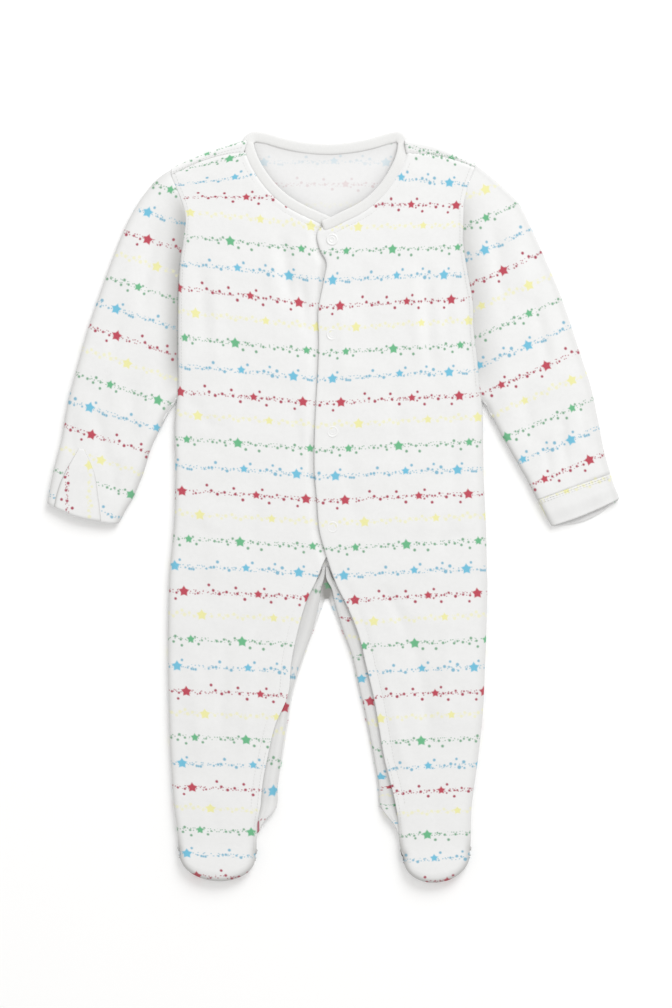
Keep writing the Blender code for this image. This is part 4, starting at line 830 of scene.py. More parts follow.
def build_front(side, materials):
    sections = under_binding(side.front, side.neck)
    height_at, hem_at = front_height(side, sections)
    rows = panel_rows(sections)
    x, y = section_points(rows, fractions_across(rows, FRONT_COLUMNS))
    outer, normal, inner = shell(x, y, height_at(x, y), 1.0)
    inner[..., 2] -= hem_at(x, y)
    # painted shade at the rolled rims and the toe, and a painted shadow beside the lap's edge
    shade = rim_shade(panel_outline(rows, side_roll, foot_roll), x, y)
    if side.name == "right":
        shade = np.maximum(shade, lap_shade(x, y))
    place = print_place(side.front_print, *opened(outer, normal))
    return cloth("front_%s_cloth" % side.name, outer, inner, place, materials, shade), height_at


def build_sole(side, materials):
    rows = panel_rows(side.sole)
    outline = panel_outline(rows, np.ones_like, lambda y: foot_roll(y + SOLE_ROLL_LAG))
    x, y = section_points(rows, fractions_across(rows, SOLE_COLUMNS))
    distance, (roll,) = nearest(outline, x, y)
    low = toe_lift(y)
    z = mix(mix(low, seam_height(y), roll), low, round_over(distance / FOOT_ROLL_WIDTH))
    outer, normal, inner = shell(x, y, z, -1.0)
    place = print_place(side.front_print, *opened(outer, normal))
    return cloth("sole_%s_cloth" % side.name, outer, inner, place, materials)


def armhole_line(sections):
    """Side of the body, continued straight up the shoulder's end."""
    top = sections[0]
    rows = [(top.side_x, top.side_y + ARMHOLE_RISE)] + [row[0:2] for row in sections]
    return resample(rows, ARMHOLE_SPACING, 2)


def shoulder_points(side, w):
    """Rows over a shoulder from the seam on the front to the back, with their normals."""
    seam_x, seam_y = one_section(side.front[0], w)
    top_x, top_y = one_section(side.shoulder, w)
    flat, half = 0 * w, side.crown / 2
    points, normals = [], []
    for share in SHOULDER_SHARES:
        points.append((mix(seam_x, top_x, share), mix(seam_y + SHOULDER_GAP, top_y - ROLL, share),
                       flat + side.crown - dip(share, *SHOULDER_DIP)))
        normals.append((flat, flat, flat + 1))
    for angle in WRAP_ANGLES:
        c, s = math.cos(angle), math.sin(angle)
        points.append((top_x, top_y - ROLL * (1.0 - c), flat + half + half * s))
        normals.append((flat, flat + c, flat + s))
    return np.array(points).transpose(0, 2, 1), np.array(normals).transpose(0, 2, 1)


def back_grid():
    """X and Y of the back's grid, the fractions across each side zone, and the crotch's row."""
    rows = [(row.right_x, row.y, row.left_x, row.y) for row in BACK]
    middle = np.concatenate((resample(rows[:CROTCH_ROW + 1], SPACING),
                             resample(rows[CROTCH_ROW:], SPACING)[1:]))
    mid_y = middle[:, 1:2]
    side_y = mid_y - ARM_SLOPE * ramp(mid_y, *ARM_SLOPE_SPAN)
    steps = np.arange(1, BACK_SIDE_COLUMNS + 1) / BACK_SIDE_COLUMNS
    zones = []
    for side, column in zip(SIDES, (0, 2)):
        side_x, mid_x = along_line(armhole_line(side.front), side_y), middle[:, column:column + 1]
        near = EDGE_OFFSETS / np.hypot(mid_x - side_x, mid_y - side_y)
        share = np.concatenate((near, mix(near[:, -1:], 1.0, steps)), axis=1)
        zones.append((mix(side_x, mid_x, share), mix(side_y, mid_y, share), share[0]))
    neck = resample(BACK_NECK, NECK_SPACING, 2)
    t = np.arange(1, BACK_NECK_COLUMNS)[None, :] / BACK_NECK_COLUMNS
    reach = np.linspace(0.0, 1.0, len(neck))
    straight_x = mix(middle[:, 0:1], middle[:, 2:3], t)
    fade = ramp(mid_y, *NECK_CURVE_SPAN)
    neck_x = straight_x + fade * (np.interp(t, reach, neck[:, 0]) - straight_x[0])
    neck_y = mid_y + fade * (np.interp(t, reach, neck[:, 1]) - mid_y[0])
    x = np.concatenate((zones[0][0], neck_x, zones[1][0][:, ::-1]), axis=1)
    y = np.concatenate((zones[0][1], neck_y, zones[1][1][:, ::-1]), axis=1)
    crotch = int(np.argmin(np.abs(mid_y - BACK[CROTCH_ROW].y)))
    return x, y, (zones[0][2], zones[1][2]), crotch


def back_shade(x, y):
    """Painted shade on the back's inner face: round the neck, and a dark painted shadow in the gap
    at the crotch.
    """
    beside = np.minimum(nearest(NECK_RIGHT, x, y)[0], nearest(NECK_LEFT, x, y)[0])
    round_neck = dip(beside, *NECK_SHADE) * ramp(y, *NECK_SHADE_SPAN)
    spot = CROTCH_SHADE
    gap = np.hypot((x - spot.x) / spot.across, (y - spot.y) / spot.along)
    return np.maximum(round_neck, spot.amount * (1.0 - ramp(gap, *CROTCH_FADE)))


def build_back(materials):
    """The back: flat underneath, round at the sides, and forward over both shoulders."""
    x, y, shares, crotch = back_grid()
    half = x.shape[1] // 2
    z = np.zeros_like(x)
    for side, part in zip(SIDES, (slice(0, half), slice(half, None))):
        line = armhole_line(side.front)
        outline = np.column_stack((line, side_roll(line[:, 1])))
        distance, (roll,) = nearest(outline, x[:, part], y[:, part])
        z[:, part] = roll * seam_height(y[:, part]) * (1.0 - round_over(distance / ROLL))
    outer, _, inner = shell(x, y, z, -1.0)
    uneven = BACK_SLACK * slack(x, y, BACK_SEED) + BACK_CREASES * crease_height(CREASES_BACK, x, y)
    inner[..., 2] += BACK_LIFT + uneven
    wraps = [shoulder_points(side, share) for side, share in zip(SIDES, shares)]
    rows_over = len(wraps[0][0])
    blank = np.zeros((rows_over, BACK_NECK_COLUMNS - 1, 3))
    over, over_normal = (np.concatenate((wraps[0][i], blank, wraps[1][i][:, ::-1]), axis=1)
                         for i in range(2))
    outer = np.concatenate((over, outer))
    inner = np.concatenate((over - over_normal * CLOTH, inner))
    rows, columns = outer.shape[:2]
    side_columns = len(EDGE_OFFSETS) + BACK_SIDE_COLUMNS
    in_middle = slice(side_columns - 1, columns - side_columns)
    keep = np.ones((rows - 1, columns - 1), dtype=bool)
    keep[:rows_over, in_middle] = False
    keep[rows_over + crotch:, in_middle] = False
    place = print_place(PRINT_BACK, outer[..., 0], outer[..., 1])
    for side, part in zip(SIDES, (slice(0, half), slice(half, None))):
        wrapped = print_place(side.shoulder_print, *opened(over, over_normal))
        place[:rows_over, part] = wrapped[:, part]
    # painted shade on the inner face only: round the neck and a dark painted shadow at the crotch
    painted_shade = back_shade(inner[..., 0], inner[..., 1])
    return cloth("back_cloth", outer, inner, place, materials, np.zeros_like(painted_shade), painted_shade,
                 grid_quads(rows, columns, keep=keep))


# ---- sleeves and cuff ----

def tube_points(rows, w):
    """Points across a tube's rings."""
    x = mix(rows[:, 0:1], rows[:, 2:3], w)
    return x, mix(rows[:, 1:2], rows[:, 3:4], w) + rows[:, 4:5] * np.sin(math.pi * w)


def tube(name, rows, x, y, top_at, place_rows, materials, shade_at, reach):
    """A flattened tube: over the top from edge to edge and back underneath.

    reach says how far the underside shows past the top, ring by ring."""
    outer_gap, inner_gap = nearest(rows[:, 0:2], x, y)[0], nearest(rows[:, 2:4], x, y)[0]
    distance = np.minimum(outer_gap, inner_gap)
    rise = mix(ease(distance / TUBE_REACH), round_over(distance / ROLL), TUBE_SHARE)
    over = np.stack((x, y, mix(SEAM_Z, top_at(x, y), rise)), axis=2)
    low = mix(SEAM_Z, 0.0, round_over(distance / ROLL))
    under = np.stack((x, y, low), axis=2)[:, ::-1]
    shift = reach[:, None] * np.sin(math.pi * np.arange(x.shape[1]) / (x.shape[1] - 1))
    under[..., 0] += CUFF_SKEW * shift
    under[..., 1] -= shift
    outer = np.concatenate((over[:, :-1], under[:, :-1]), axis=1)
    normal = grid_normals(outer, loop=True)
    normal *= np.sign(((outer - outer.mean(axis=1, keepdims=True)) * normal)[..., 2].sum())
    # painted shade along the outer edge and, more, along the underarm edge; the underside gets none
    shade = np.zeros(outer.shape[:2])
    rim = dip(outer_gap, RIM_SHADE, RIM_WIDTH)
    under_arm = dip(inner_gap, UNDERARM_SHADE, RIM_WIDTH)
    shade[:, :x.shape[1] - 1] = shade_at(x, y, rim, under_arm)[:, :-1]
    place = print_place(place_rows, *opened(outer, normal))
    return cloth(name, outer, outer - normal * CLOTH, place, materials, shade,
                 quads=grid_quads(*outer.shape[:2], loop=True))


def build_sleeve(side, materials):
    """A sleeve, and the function that gives the height of its top."""
    rings = [ring + (max(0.0, 1.0 - i / ARM_RINGS) ** 2,) for i, ring in enumerate(side.sleeve)]
    rows = resample(rings, SPACING)
    armhole = armhole_line(side.front)
    seam = armhole[armhole[:, 1] > ARM_SEAM_LOW]

    def top_at(x, y):
        away = side.out * (x - along_line(armhole, y))
        tucked = ramp(y, *TUCK_SPAN) * ease(1.0 - away / TUCK_WIDTH)
        uneven = FOLD_DEPTH * crease_height(side.arm_creases, x, y) + slack(x, y, side.arm_seed)
        from_seam, _ = nearest(seam, x, y)
        standing = uneven - dip(from_seam, *ARM_SEAM_DIP)
        return mix(SLEEVE_CROWN, SLEEVE_TUCK, tucked) + standing * (1.0 - tucked)

    # painted shade on the sleeve beside the body, darkest at the armhole, and at its edges
    def shade_at(x, y, rim, under_arm):
        away = side.out * (x - along_line(armhole, y)) - ARM_SHADE_FROM
        fade = (np.maximum(away, 0.0) / ARM_SHADE_WIDTH) ** ARM_SHADE_POWER
        beside = ramp(y, *ARM_SHADE_TOP) * ramp(y, *ARM_SHADE_END) * np.exp(-fade)
        return np.maximum(side.arm_shade * beside, np.maximum(rim, under_arm))

    # the first rings take up the armhole's curve
    w = fractions_across(rows, SLEEVE_COLUMNS)
    x, y = tube_points(rows, w)
    first = side.sleeve[0]
    arm_x = along_line(armhole, mix(first.outer_y, first.inner_y, w)) - side.out * ARM_GAP
    x = x + rows[:, 5:6] * (arm_x - mix(first.outer_x, first.inner_x, w))
    return tube("sleeve_%s_cloth" % side.name, rows, x, y, top_at, side.arm_print, materials,
                shade_at, np.zeros(len(rows))), top_at


def build_cuff(materials):
    rows = resample(CUFF_LEFT, CUFF_SPACING)
    x, y = tube_points(rows, fractions_across(rows, SLEEVE_COLUMNS))
    along = np.linspace(0.0, 1.0, len(rows))

    def top_at(px, py):
        down = along[:, None]
        wave = CUFF_WAVE * np.sin(px * CUFF_WAVE_TURN) * ramp(down, *CUFF_WAVE_SPAN)
        swell = CUFF_SWELL * ease(down / CUFF_SWELL_END)
        return SLEEVE_CROWN - CUFF_LOW + swell - CUFF_THIN * ramp(down, *CUFF_THIN_SPAN) + wave

    # painted shade along the cuff's edges
    return tube("cuff_left_cloth", rows, x, y, top_at, PRINT_CUFF, materials,
                lambda px, py, rim, under_arm: rim + under_arm, CUFF_BACK_REACH * along ** 2)


# ---- strips, mitt, binding and poppers ----

def build_flap(name, edges, columns, height_at, thick, place_at, shade_at, materials, bow=0.0):
    """A flat strip of cloth between two edges, at the height that height_at gives."""
    rows = resample(edges, STRIP_SPACING)
    w = np.broadcast_to(np.linspace(0.0, 1.0, columns + 1), (len(rows), columns + 1))
    x, y = mix(rows[:, 0:1], rows[:, 2:3], w), mix(rows[:, 1:2], rows[:, 3:4], w)
    y = y - bow * np.sin(math.pi * w) * ramp(y, *BOW_SPAN)
    outer = np.stack((x, y, height_at(x, y, w)), axis=2)
    return cloth(name, outer, outer - (0.0, 0.0, thick), place_at(x, y), materials,
                 shade_at(x, y, w))


def build_strip(side, materials):
    """A popper strip inside a leg, over the back, with two lines of sewing pressed in."""
    def height_at(x, y, w):
        sewn = sum(dip(w - line.across, line.depth, line.width) for line in STRIP_SEWN)
        uneven = STRIP_SLACK * slack(x * 2, y, STRIP_SEED)
        return STRIP_Z + STRIP_RISE * ramp(y, *STRIP_RISE_SPAN) - sewn + uneven

    # painted shade: the whole strip greyed, more high on the leg, and darker along both its edges
    def shade_at(x, y, w):
        return (mix(*side.strip_shades, ramp(y, *STRIP_SHADE_SPAN)) + dip(w, *STRIP_OUT_SHADE)
                + STRIP_IN_SHADE * ramp(w, *STRIP_IN_SPAN))

    return build_flap("leg_placket_%s_cloth" % side.name, side.strip, STRIP_COLUMNS, height_at,
                      CLOTH, lambda x, y: print_place(side.strip_print, x, y), shade_at, materials)


def build_mitt(sleeve_at, materials):
    def height_at(x, y, w):
        rise = MITT_RISE * round_over(np.minimum(w, 1.0 - w) / MITT_EDGE)
        return sleeve_at(x, y) + MITT_LIFT + rise + MITT_PUFF * np.sin(math.pi * w)

    # painted shade along both edges of the flap
    return build_flap("mitt_right_cloth", MITT_RIGHT, MITT_COLUMNS, height_at, MITT_THICK,
                      mitt_place, lambda x, y, w: dip(np.minimum(w, 1.0 - w), *MITT_SHADE),
                      materials, MITT_BOW)


def circle(sides):
    return np.arange(sides) * 2 * math.pi / sides


def build_binding(materials):
    """The neck binding: a rounded rib strip swept round the neck, its ends lapped in front."""
    curve = resample(NECK_PATH, BINDING_SPACING, 2)
    angle = circle(BINDING_SIDES)
    c, s = np.cos(angle), np.sin(angle)
    across = np.sign(c) * np.abs(c) ** BINDING_SQUARE * BINDING_WIDTH / 2
    up = np.sign(s) * np.abs(s) ** BINDING_SQUARE * (
        BINDING_THICK / 2 - dip(across - BINDING_FOLD, *FOLD_DIP))
    along = unit(np.gradient(curve[:, :2], axis=0))
    ends = np.minimum(np.arange(len(curve)), np.arange(len(curve))[::-1])
    taper = mix(BINDING_END, 1.0, round_over(ends / BINDING_END_ROUND))[:, None]
    across_here = across * taper ** BINDING_END_WIDE
    points = np.stack((curve[:, 0:1] - along[:, 1:2] * across_here,
                       curve[:, 1:2] + along[:, 0:1] * across_here,
                       curve[:, 2:3] + up * taper), axis=2)
    steps = np.linalg.norm(np.diff(curve[:, :2], axis=0), axis=1)
    reach = np.concatenate(([0.0], np.cumsum(steps)))[:, None]
    spot = np.stack(np.broadcast_arrays(reach, angle * BINDING_ROUND), axis=2)
    faces = grid_quads(len(curve), BINDING_SIDES, loop=True).tolist()
    last = (len(curve) - 1) * BINDING_SIDES
    faces += [list(range(start, start + BINDING_SIDES)) for start in (0, last)]
    return make_object("neck_binding_rib", points.reshape(-1, 3), faces, materials,
                       uv=spot.reshape(-1, 2))


def build_snap(number, x, y, base, materials):
    """Ring cap of a popper, turned from its profile."""
    points = [(x + SNAP_RADIUS * r * math.cos(a), y + SNAP_RADIUS * r * math.sin(a),
               base + SNAP_HEIGHT * h) for r, h in SNAP_PROFILE for a in circle(SNAP_SIDES)]
    faces = grid_quads(len(SNAP_PROFILE), SNAP_SIDES, loop=True).tolist()
    top = (len(SNAP_PROFILE) - 1) * SNAP_SIDES
    points.append((x, y, base + SNAP_HEIGHT * SNAP_MIDDLE))
    faces += [[top + k, top + (k + 1) % SNAP_SIDES, len(points) - 1] for k in range(SNAP_SIDES)]
    faces.append(list(range(SNAP_SIDES)))
    return make_object("snap_cap_%d" % number, points, faces, materials)


# ---- sewing ----

STITCH_STATIONS = ((-0.5, 0.25, -0.6), (-0.3, 1.0, 0.0), (0.3, 1.0, 0.0), (0.5, 0.25, -0.6))


def stitches(path, distance, height_at):
    """Points and faces of stitches a distance to the left of a path of (x, y) rows."""
    path = np.asarray(path, dtype=float)
    direction = unit(np.gradient(path, axis=0))
    path = path + distance * np.column_stack((-direction[:, 1], direction[:, 0]))
    line = resample(path, STITCH_PITCH, 2)
    heights = height_at(line[:, 0], line[:, 1]) + STITCH_LIFT
    points, faces = [], []
    for (x, y), (dx, dy), z in zip(line, unit(np.gradient(line, axis=0)), heights):
        first = len(points)
        for along, size, sink in STITCH_STATIONS:
            half = STITCH_WIDTH / 2 * size
            for side, up in ((-1, 0), (0, 1), (1, 0), (0, -1)):
                points.append((x + dx * STITCH_LENGTH * along - dy * half * side,
                               y + dy * STITCH_LENGTH * along + dx * half * side,
                               z + half * up + STITCH_WIDTH * 0.5 * sink))
        last = len(points) - 4
        for start in range(first, last, 4):
            faces += [[start + j, start + (j + 1) % 4, start + (j + 1) % 4 + 4, start + j + 4]
                      for j in range(4)]
        faces += [list(range(start, start + 4)) for start in (first, last)]
    return points, faces


def build_stitching(name, lines, materials):
    points, faces = [], []
    for line_points, line_faces in lines:
        start = len(points)
        points += line_points
        faces += [[start + index for index in face] for face in line_faces]
    return make_object(name, points, faces, materials)


def between(line, span):
    """The part of a line of (x, y) rows between two heights, at even steps."""
    return resample(line[(line[:, 1] < span[0]) & (line[:, 1] > span[1])], LINE_SPACING, 2)


def build_sewing(side, height_at, materials):
    """A front's sewing: neck, armhole, leg hem, the piping of the heel, and the shoulder."""
    rows = np.array(side.front, dtype=float)
    sewn = (side.neck[:, 0] * side.out > side.sewn_x) & (side.neck[:, 1] < side.sewn_y)
    body, edge = rows[:, 0:2], rows[:, 2:4]
    lines = [stitches(side.neck[sewn, :2], NECK_STITCH, height_at),
             stitches(between(body, ARM_SEWN), ARM_STITCH * -side.out, height_at),
             stitches(between(edge, LEG_SEWN), LEG_HEM * side.out, height_at),
             stitches(between(edge, HEEL_SEWN), HEEL_STITCH * side.out, height_at)]
    w = np.linspace(*SHOULDER_SEWN, SHOULDER_POINTS)
    seam_x, seam_y = one_section(side.front[0], w)
    top_x, top_y = one_section(side.shoulder, w)
    for share in SHOULDER_STITCHES:
        path = np.column_stack((mix(seam_x, top_x, share), mix(seam_y, top_y - ROLL, share)))
        lines.append(stitches(path, 0.0, lambda x, y: np.full(x.shape, side.crown)))
    return build_stitching("sewing_" + side.name, lines, materials)


def build_cuff_sewing(materials):
    top = CUFF_LEFT[0]
    path = np.linspace(top[2:4], top[0:2], 20)[1:-1]
    height = SLEEVE_CROWN + CUFF_STITCH_LIFT
    lines = [stitches(path, -distance, lambda x, y: np.full(x.shape, height))
             for distance in CUFF_STITCHES]
    return build_stitching("sewing_cuff", lines, materials)


# ---- materials ----

class Graph:
    """Short calls that add nodes to a tree."""

    def __init__(self, tree):
        self.tree = tree

    def node(self, kind, **settings):
        made = self.tree.nodes.new(kind)
        for key, value in settings.items():
            setattr(made, key, value)
        return made

    def feed(self, socket, value):
        if isinstance(value, bpy.types.NodeSocket):
            self.tree.links.new(value, socket)
        else:
            socket.default_value = value

    def math(self, operation, *values, clamp=False):
        made = self.node("ShaderNodeMath", operation=operation, use_clamp=clamp)
        for socket, value in zip(made.inputs, values):
            self.feed(socket, value)
        return made.outputs[0]

    def vector(self, operation, *values):
        made = self.node("ShaderNodeVectorMath", operation=operation)
        for socket, value in zip(made.inputs, values):
            self.feed(socket, value)
        return made.outputs["Value" if operation in ("DISTANCE", "LENGTH") else "Vector"]

    def combine(self, x, y):
        made = self.node("ShaderNodeCombineXYZ")
        self.feed(made.inputs[0], x)
        self.feed(made.inputs[1], y)
        return made.outputs[0]

    def split(self, vector):
        made = self.node("ShaderNodeSeparateXYZ")
        self.feed(made.inputs[0], vector)
        return made.outputs[0], made.outputs[1]

    def mix_colour(self, factor, a, b):
        """A mix of two colours, each a socket or a tuple."""
        made = self.node("ShaderNodeMix", data_type="RGBA")
        self.feed(made.inputs["Factor"], factor)
        for socket, colour in ((made.inputs[6], a), (made.inputs[7], b)):
            self.feed(socket, (*colour, 1.0) if isinstance(colour, tuple) else colour)
        return made.outputs[2]

    def noise(self, vector, scale, detail):
        made = self.node("ShaderNodeTexNoise")
        self.feed(made.inputs["Vector"], vector)
        made.inputs["Scale"].default_value = scale
        made.inputs["Detail"].default_value = detail
        return made.outputs["Fac"]


def star_distance(graph, x, y, size):
    """Distance outside a five-pointed star round the origin, less than 0 inside."""
    radius = graph.vector("LENGTH", graph.combine(x, y))
    turn = graph.math("ARCTAN2", x, y)
    wedge = 2 * math.pi / 5
    folded = graph.math("ABSOLUTE", graph.math("WRAP", turn, wedge / 2, -wedge / 2))
    px = graph.math("MULTIPLY", radius, graph.math("COSINE", folded))
    py = graph.math("MULTIPLY", radius, graph.math("SINE", folded))
    inner_x = size * STAR_WAIST * math.cos(wedge / 2)
    inner_y = size * STAR_WAIST * math.sin(wedge / 2)
    length = math.hypot(inner_y, size - inner_x)
    along = graph.math("MULTIPLY", graph.math("SUBTRACT", px, size), inner_y / length)
    return graph.math("MULTIPLY_ADD", py, (size - inner_x) / length, along)


def dots_distance(graph, spot, ink):
    """Distance outside the closest of an ink's dots."""
    far = closest = 100.0
    by_size = {}
    for x, y, radius in ink.dots:
        by_size.setdefault(round(radius, 1), []).append((x, y))
    for radius, centres in by_size.items():
        gap = far
        for x, y in centres:
            gap = graph.math("MINIMUM", graph.vector("DISTANCE", spot, (x, y, 0.0)), gap)
        closest = graph.math("MINIMUM", graph.math("SUBTRACT", gap, radius + ink.spread), closest)
    return closest


def print_group():
    """Node group of the print: from a place on the cloth in metres to ink colour and cover."""
    tree = bpy.data.node_groups.new("star_rows", "ShaderNodeTree")
    tree.interface.new_socket("Place", in_out="INPUT", socket_type="NodeSocketVector")
    tree.interface.new_socket("Colour", in_out="OUTPUT", socket_type="NodeSocketColor")
    tree.interface.new_socket("Cover", in_out="OUTPUT", socket_type="NodeSocketFloat")
    graph = Graph(tree)
    place = graph.node("NodeGroupInput").outputs[0]
    along, down = graph.split(graph.vector("MULTIPLY", place, (1 / MM, 1 / MM, 0.0)))
    row = graph.math("FLOOR", graph.math("ADD", graph.math("DIVIDE", down, ROW_PITCH), 0.5))
    up = graph.math("SUBTRACT", graph.math("MULTIPLY", row, ROW_PITCH), down)
    turn = graph.math("FLOORED_MODULO", row, float(ROW_COLOURS))
    chosen, shift, small_x, small_y = [], 0.0, 0.0, 0.0
    for i, ink in enumerate(INKS):
        chosen.append(graph.math("COMPARE", turn, float(i), 0.5))
        shift = graph.math("MULTIPLY_ADD", chosen[i], ink.shift, shift)
        up = graph.math("MULTIPLY_ADD", chosen[i], -ink.lift, up)
        small_x = graph.math("MULTIPLY_ADD", chosen[i], ink.small_x, small_x)
        small_y = graph.math("MULTIPLY_ADD", chosen[i], ink.small_y, small_y)
    start = graph.math("SUBTRACT", along, shift)
    after = graph.math("FLOORED_MODULO", start, REPEAT)
    spot = graph.combine(after, up)
    dots = 0.0
    for i, ink in enumerate(INKS):
        dots = graph.math("MULTIPLY_ADD", chosen[i], dots_distance(graph, spot, ink), dots)
    big = star_distance(graph, graph.math("WRAP", start, REPEAT / 2, -REPEAT / 2), up, BIG_STAR)
    small = star_distance(graph, graph.math("SUBTRACT", after, small_x),
                          graph.math("SUBTRACT", up, small_y), SMALL_STAR)
    stars = graph.math("MINIMUM", big, small)
    cells = graph.node("ShaderNodeTexVoronoi", voronoi_dimensions="2D")
    graph.feed(cells.inputs["Vector"], place)
    cells.inputs["Scale"].default_value = 1 / MM / SPECK_PITCH
    reach = graph.math("MULTIPLY", cells.outputs["Distance"], SPECK_PITCH)
    speck = graph.math("SUBTRACT", reach, SPECK_SIZE)
    away = graph.math("ABSOLUTE", graph.math("SUBTRACT", up, SPECK_MIDDLE))
    past = graph.math("MAXIMUM", graph.math("SUBTRACT", away, SPECK_REACH), 0.0)
    speck = graph.math("ADD", speck, graph.math("MULTIPLY", past, SPECK_FALL))
    dots = graph.math("MINIMUM", dots, speck)
    fuzz = graph.math("SUBTRACT", graph.noise(place, FUZZ_SCALE, 1.0), 0.5)
    fuzz = graph.math("MULTIPLY", fuzz, PRINT_FUZZ)
    shape = graph.math("ADD", graph.math("MINIMUM", stars, dots), fuzz)
    soft = graph.node("ShaderNodeMapRange", interpolation_type="SMOOTHSTEP")
    graph.feed(soft.inputs["Value"], shape)
    soft.inputs["From Min"].default_value = PRINT_EDGE
    soft.inputs["From Max"].default_value = -PRINT_EDGE
    is_star = graph.math("LESS_THAN", stars, dots)
    colour = None
    for i, ink in enumerate(INKS):
        own = graph.mix_colour(is_star, ink.dot_colour, ink.star_colour)
        colour = own if colour is None else graph.mix_colour(chosen[i], colour, own)
    out = graph.node("NodeGroupOutput")
    graph.feed(out.inputs["Colour"], colour)
    graph.feed(out.inputs["Cover"], soft.outputs[0])
    return tree


def new_material(name, same_all_over):
    """A material, the graph of its nodes and its shader, with inputs that are the same all over."""
    made = bpy.data.materials.new(name)
    made.use_nodes = True
    shader = made.node_tree.nodes["Principled BSDF"]
    for key, value in same_all_over.items():
        shader.inputs[key].default_value = value
    return made, Graph(made.node_tree), shader


def add_surface(graph, shader, tone, height, strength, distance):
    """Feeds the shader its colour, and fine relief from a height."""
    graph.feed(shader.inputs["Base Color"], tone)
    bump = graph.node("ShaderNodeBump")
    bump.inputs["Strength"].default_value = strength
    bump.inputs["Distance"].default_value = distance
    graph.feed(bump.inputs["Height"], height)
    graph.feed(shader.inputs["Normal"], bump.outputs[0])


def knit_material(name, cover, light, dark, star_rows):
    """Fine interlock knit: wales, loft and a soft sheen, with the print over it and painted shade
    from the shade attribute.
    """
    made, graph, shader = new_material(name, {"Roughness": 0.92, "Specular IOR Level": 0.25,
                                              "Sheen Weight": 0.12, "Sheen Roughness": 0.5})
    place = graph.node("ShaderNodeUVMap", uv_map="cloth").outputs[0]
    along, down = graph.split(place)
    wales = graph.math("MULTIPLY", along, 2 * math.pi / MM / WALE)
    courses = graph.math("MULTIPLY", down, 2 * math.pi / MM / COURSE)
    slant = graph.math("SINE", graph.math("ADD", courses, wales))
    loops = graph.math("ADD", graph.math("SINE", wales), graph.math("MULTIPLY", slant, 0.5))
    mottle = graph.noise(place, MOTTLE_SCALE, 3.0)
    fine = graph.noise(place, GRAIN_SCALE, 1.0)
    height = graph.math("MULTIPLY", fine, GRAIN_HEIGHT)
    height = graph.math("MULTIPLY_ADD", loops, LOOP_HEIGHT, height)
    height = graph.math("MULTIPLY_ADD", mottle, MOTTLE_HEIGHT, height)
    # painted shade: the shade attribute darkens the cloth's colour towards a dark painted-shade
    # colour
    painted_shade = graph.node("ShaderNodeAttribute", attribute_name="shade").outputs["Fac"]
    tone = graph.mix_colour(painted_shade, graph.mix_colour(mottle, dark, light), PAINTED_SHADE_COLOUR)
    group = graph.node("ShaderNodeGroup", node_tree=star_rows)
    graph.feed(group.inputs[0], place)
    # where the painted shade is deep the ink covers in full, and part of the painted shade darkens
    # the ink too
    strength = graph.math("MULTIPLY_ADD", painted_shade, 1.0, cover, clamp=True)
    ink = graph.math("MULTIPLY", group.outputs["Cover"], strength)
    grain = graph.math("MULTIPLY_ADD", fine, INK_GRAIN, INK_LEAST, clamp=True)
    colour = graph.mix_colour(graph.math("MULTIPLY", painted_shade, INK_IN_PAINTED_SHADE), group.outputs["Colour"],
                              PAINTED_SHADE_COLOUR)
    tone = graph.mix_colour(graph.math("MULTIPLY", ink, grain), tone, colour)
    add_surface(graph, shader, tone, height, KNIT_BUMP, CLOTH_RELIEF)
    return made


def rib_material():
    made, graph, shader = new_material("rib_binding", {"Roughness": 0.88, "Sheen Weight": 0.15})
    place = graph.node("ShaderNodeUVMap", uv_map="cloth").outputs[0]
    along, _ = graph.split(place)
    ribs = graph.math("SINE", graph.math("MULTIPLY", along, 2 * math.pi / MM / RIB_PITCH))
    mottle = graph.noise(place, RIB_MOTTLE_SCALE, 3.0)
    tone = graph.mix_colour(mottle, (0.665, 0.665, 0.658), (0.715, 0.715, 0.71))
    height = graph.math("MULTIPLY_ADD", ribs, RIB_HEIGHT, mottle)
    add_surface(graph, shader, tone, height, RIB_BUMP, CLOTH_RELIEF)
    return made


def plain_material(name, light, dark, scale, roughness, relief):
    """A small part's finish: mottled colour and fine relief from one noise."""
    made, graph, shader = new_material(name, {"Roughness": roughness})
    mottle = graph.noise(graph.node("ShaderNodeTexCoord").outputs["Object"], scale, 3.0)
    add_surface(graph, shader, graph.mix_colour(mottle, dark, light), mottle, PLAIN_BUMP, relief)
    return made


# ---- the scene ----

def build_camera():
    data = bpy.data.cameras.new("camera")
    data.sensor_fit = "VERTICAL"
    data.sensor_height = 24.0
    data.lens = data.sensor_height * CAMERA_HEIGHT / (PHOTO_HEIGHT * MM_PER_PIXEL * MM)
    data.clip_end = 20.0
    camera = bpy.data.objects.new("camera", data)
    middle_x = (PHOTO_WIDTH / 2 - PIXEL_X0) * MM_PER_PIXEL - CENTRE_X
    middle_y = (PIXEL_Y0 - PHOTO_HEIGHT / 2) * MM_PER_PIXEL - CENTRE_Y
    camera.location = (middle_x * MM, middle_y * MM, CAMERA_HEIGHT)
    bpy.context.collection.objects.link(camera)
    bpy.context.scene.camera = camera


def build_light():
    world = bpy.data.worlds.new("studio")
    world.use_nodes = True
    background = world.node_tree.nodes["Background"]
    background.inputs["Color"].default_value = (1.0, 0.992, 0.98, 1.0)
    background.inputs["Strength"].default_value = WORLD_STRENGTH
    bpy.context.scene.world = world
    data = bpy.data.lights.new("key", "AREA")
    data.shape = "DISK"
    data.size = KEY_SIZE
    data.energy = KEY_ENERGY
    data.color = (0.985, 0.995, 1.0)
    key = bpy.data.objects.new("key", data)
    key.location = KEY_PLACE
    key.rotation_euler = (-Vector(KEY_PLACE)).to_track_quat("-Z", "Y").to_euler()
    bpy.context.collection.objects.link(key)


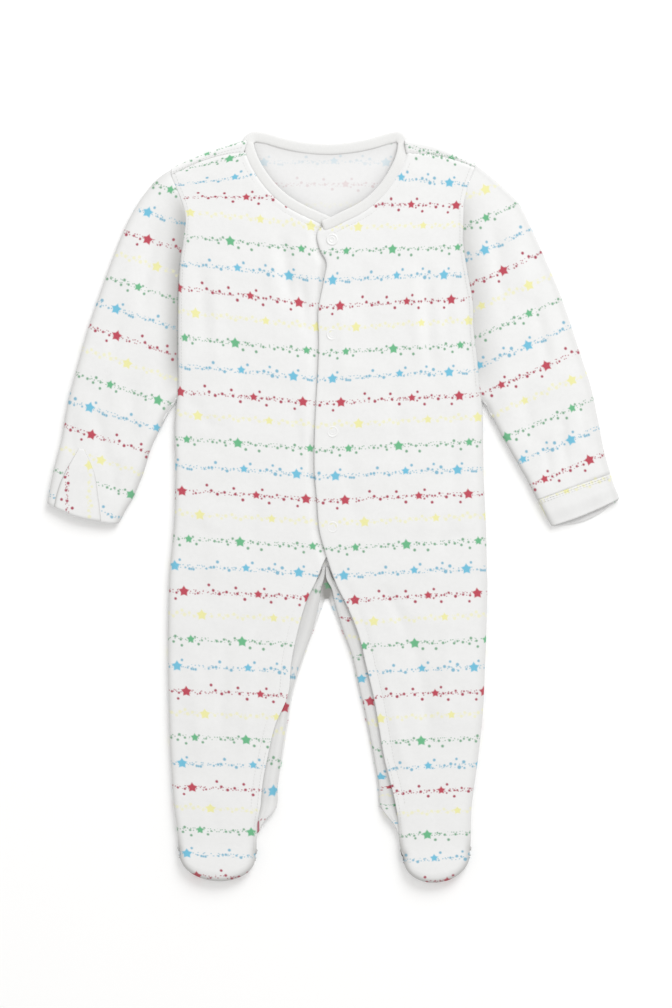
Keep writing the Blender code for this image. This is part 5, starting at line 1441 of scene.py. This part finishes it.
def build_floor():
    mesh = bpy.data.meshes.new("floor")
    corners = ((-1, -1), (1, -1), (1, 1), (-1, 1))
    mesh.from_pydata([(x * FLOOR_HALF, y * FLOOR_HALF, FLOOR_DROP) for x, y in corners], [],
                     [(0, 1, 2, 3)])
    floor = bpy.data.objects.new("floor", mesh)
    bpy.context.collection.objects.link(floor)
    made = plain_material("pale_floor", (0.85, 0.85, 0.85), (0.84, 0.84, 0.84), 3.0, 0.9, 0.0001)
    shader = made.node_tree.nodes["Principled BSDF"]
    shader.inputs["Emission Color"].default_value = (1.0, 1.0, 1.0, 1.0)
    shader.inputs["Emission Strength"].default_value = FLOOR_GLOW
    mesh.materials.append(made)


def wear(piece, nodes):
    """Puts a piece on the garment's body in place of its solids, which it hides."""
    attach(piece, "root")
    if nodes:
        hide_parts(*nodes)


def build_garment():
    """Every piece, from the back up to the poppers."""
    star_rows = print_group()
    knit = (knit_material("interlock_printed", 1.0, (0.755, 0.757, 0.757), (0.715, 0.716, 0.713),
                          star_rows),
            knit_material("interlock_inside", INK_INSIDE, (0.75, 0.75, 0.752), (0.71, 0.71, 0.71),
                          star_rows))
    rib = [rib_material()]
    thread = [plain_material("sewing_thread", (0.68, 0.68, 0.67), (0.56, 0.56, 0.55), 900.0, 0.7,
                             0.0001)]
    plastic = [plain_material("popper_plastic", (0.76, 0.762, 0.76), (0.73, 0.73, 0.728), 300.0,
                              0.4, 0.00002)]
    wear(build_back(knit), ["back"])
    front_at, sleeve_at = {}, {}
    for side in SIDES:
        front, front_at[side.name] = build_front(side, knit)
        wear(front, ["front_" + side.name])
    for side in SIDES:
        wear(build_sole(side, knit), ["sole_" + side.name])
    for side in SIDES:
        sleeve, sleeve_at[side.name] = build_sleeve(side, knit)
        wear(sleeve, ["sleeve_" + side.name])
    wear(build_cuff(knit), ["cuff_left"])
    for side in SIDES:
        wear(build_strip(side, knit), ["leg_placket_" + side.name])
    wear(build_mitt(sleeve_at["right"], knit), ["mitt_right"])
    sewing = [build_sewing(side, front_at[side.name], thread) for side in SIDES]
    for piece in sewing + [build_cuff_sewing(thread)]:
        wear(piece, [])
    wear(build_binding(rib), ["neck_binding"])
    for number, (x, y, stand) in enumerate(SNAPS, start=1):
        base = float(front_at["left"](np.array([x]), np.array([y]))[0]) + stand - SNAP_HEIGHT
        wear(build_snap(number, x, y, base, plastic), ["snap_%d" % number])


def main():
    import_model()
    bpy.context.scene.view_settings.view_transform = "Standard"
    build_camera()
    build_light()
    build_floor()
    build_garment()


main()
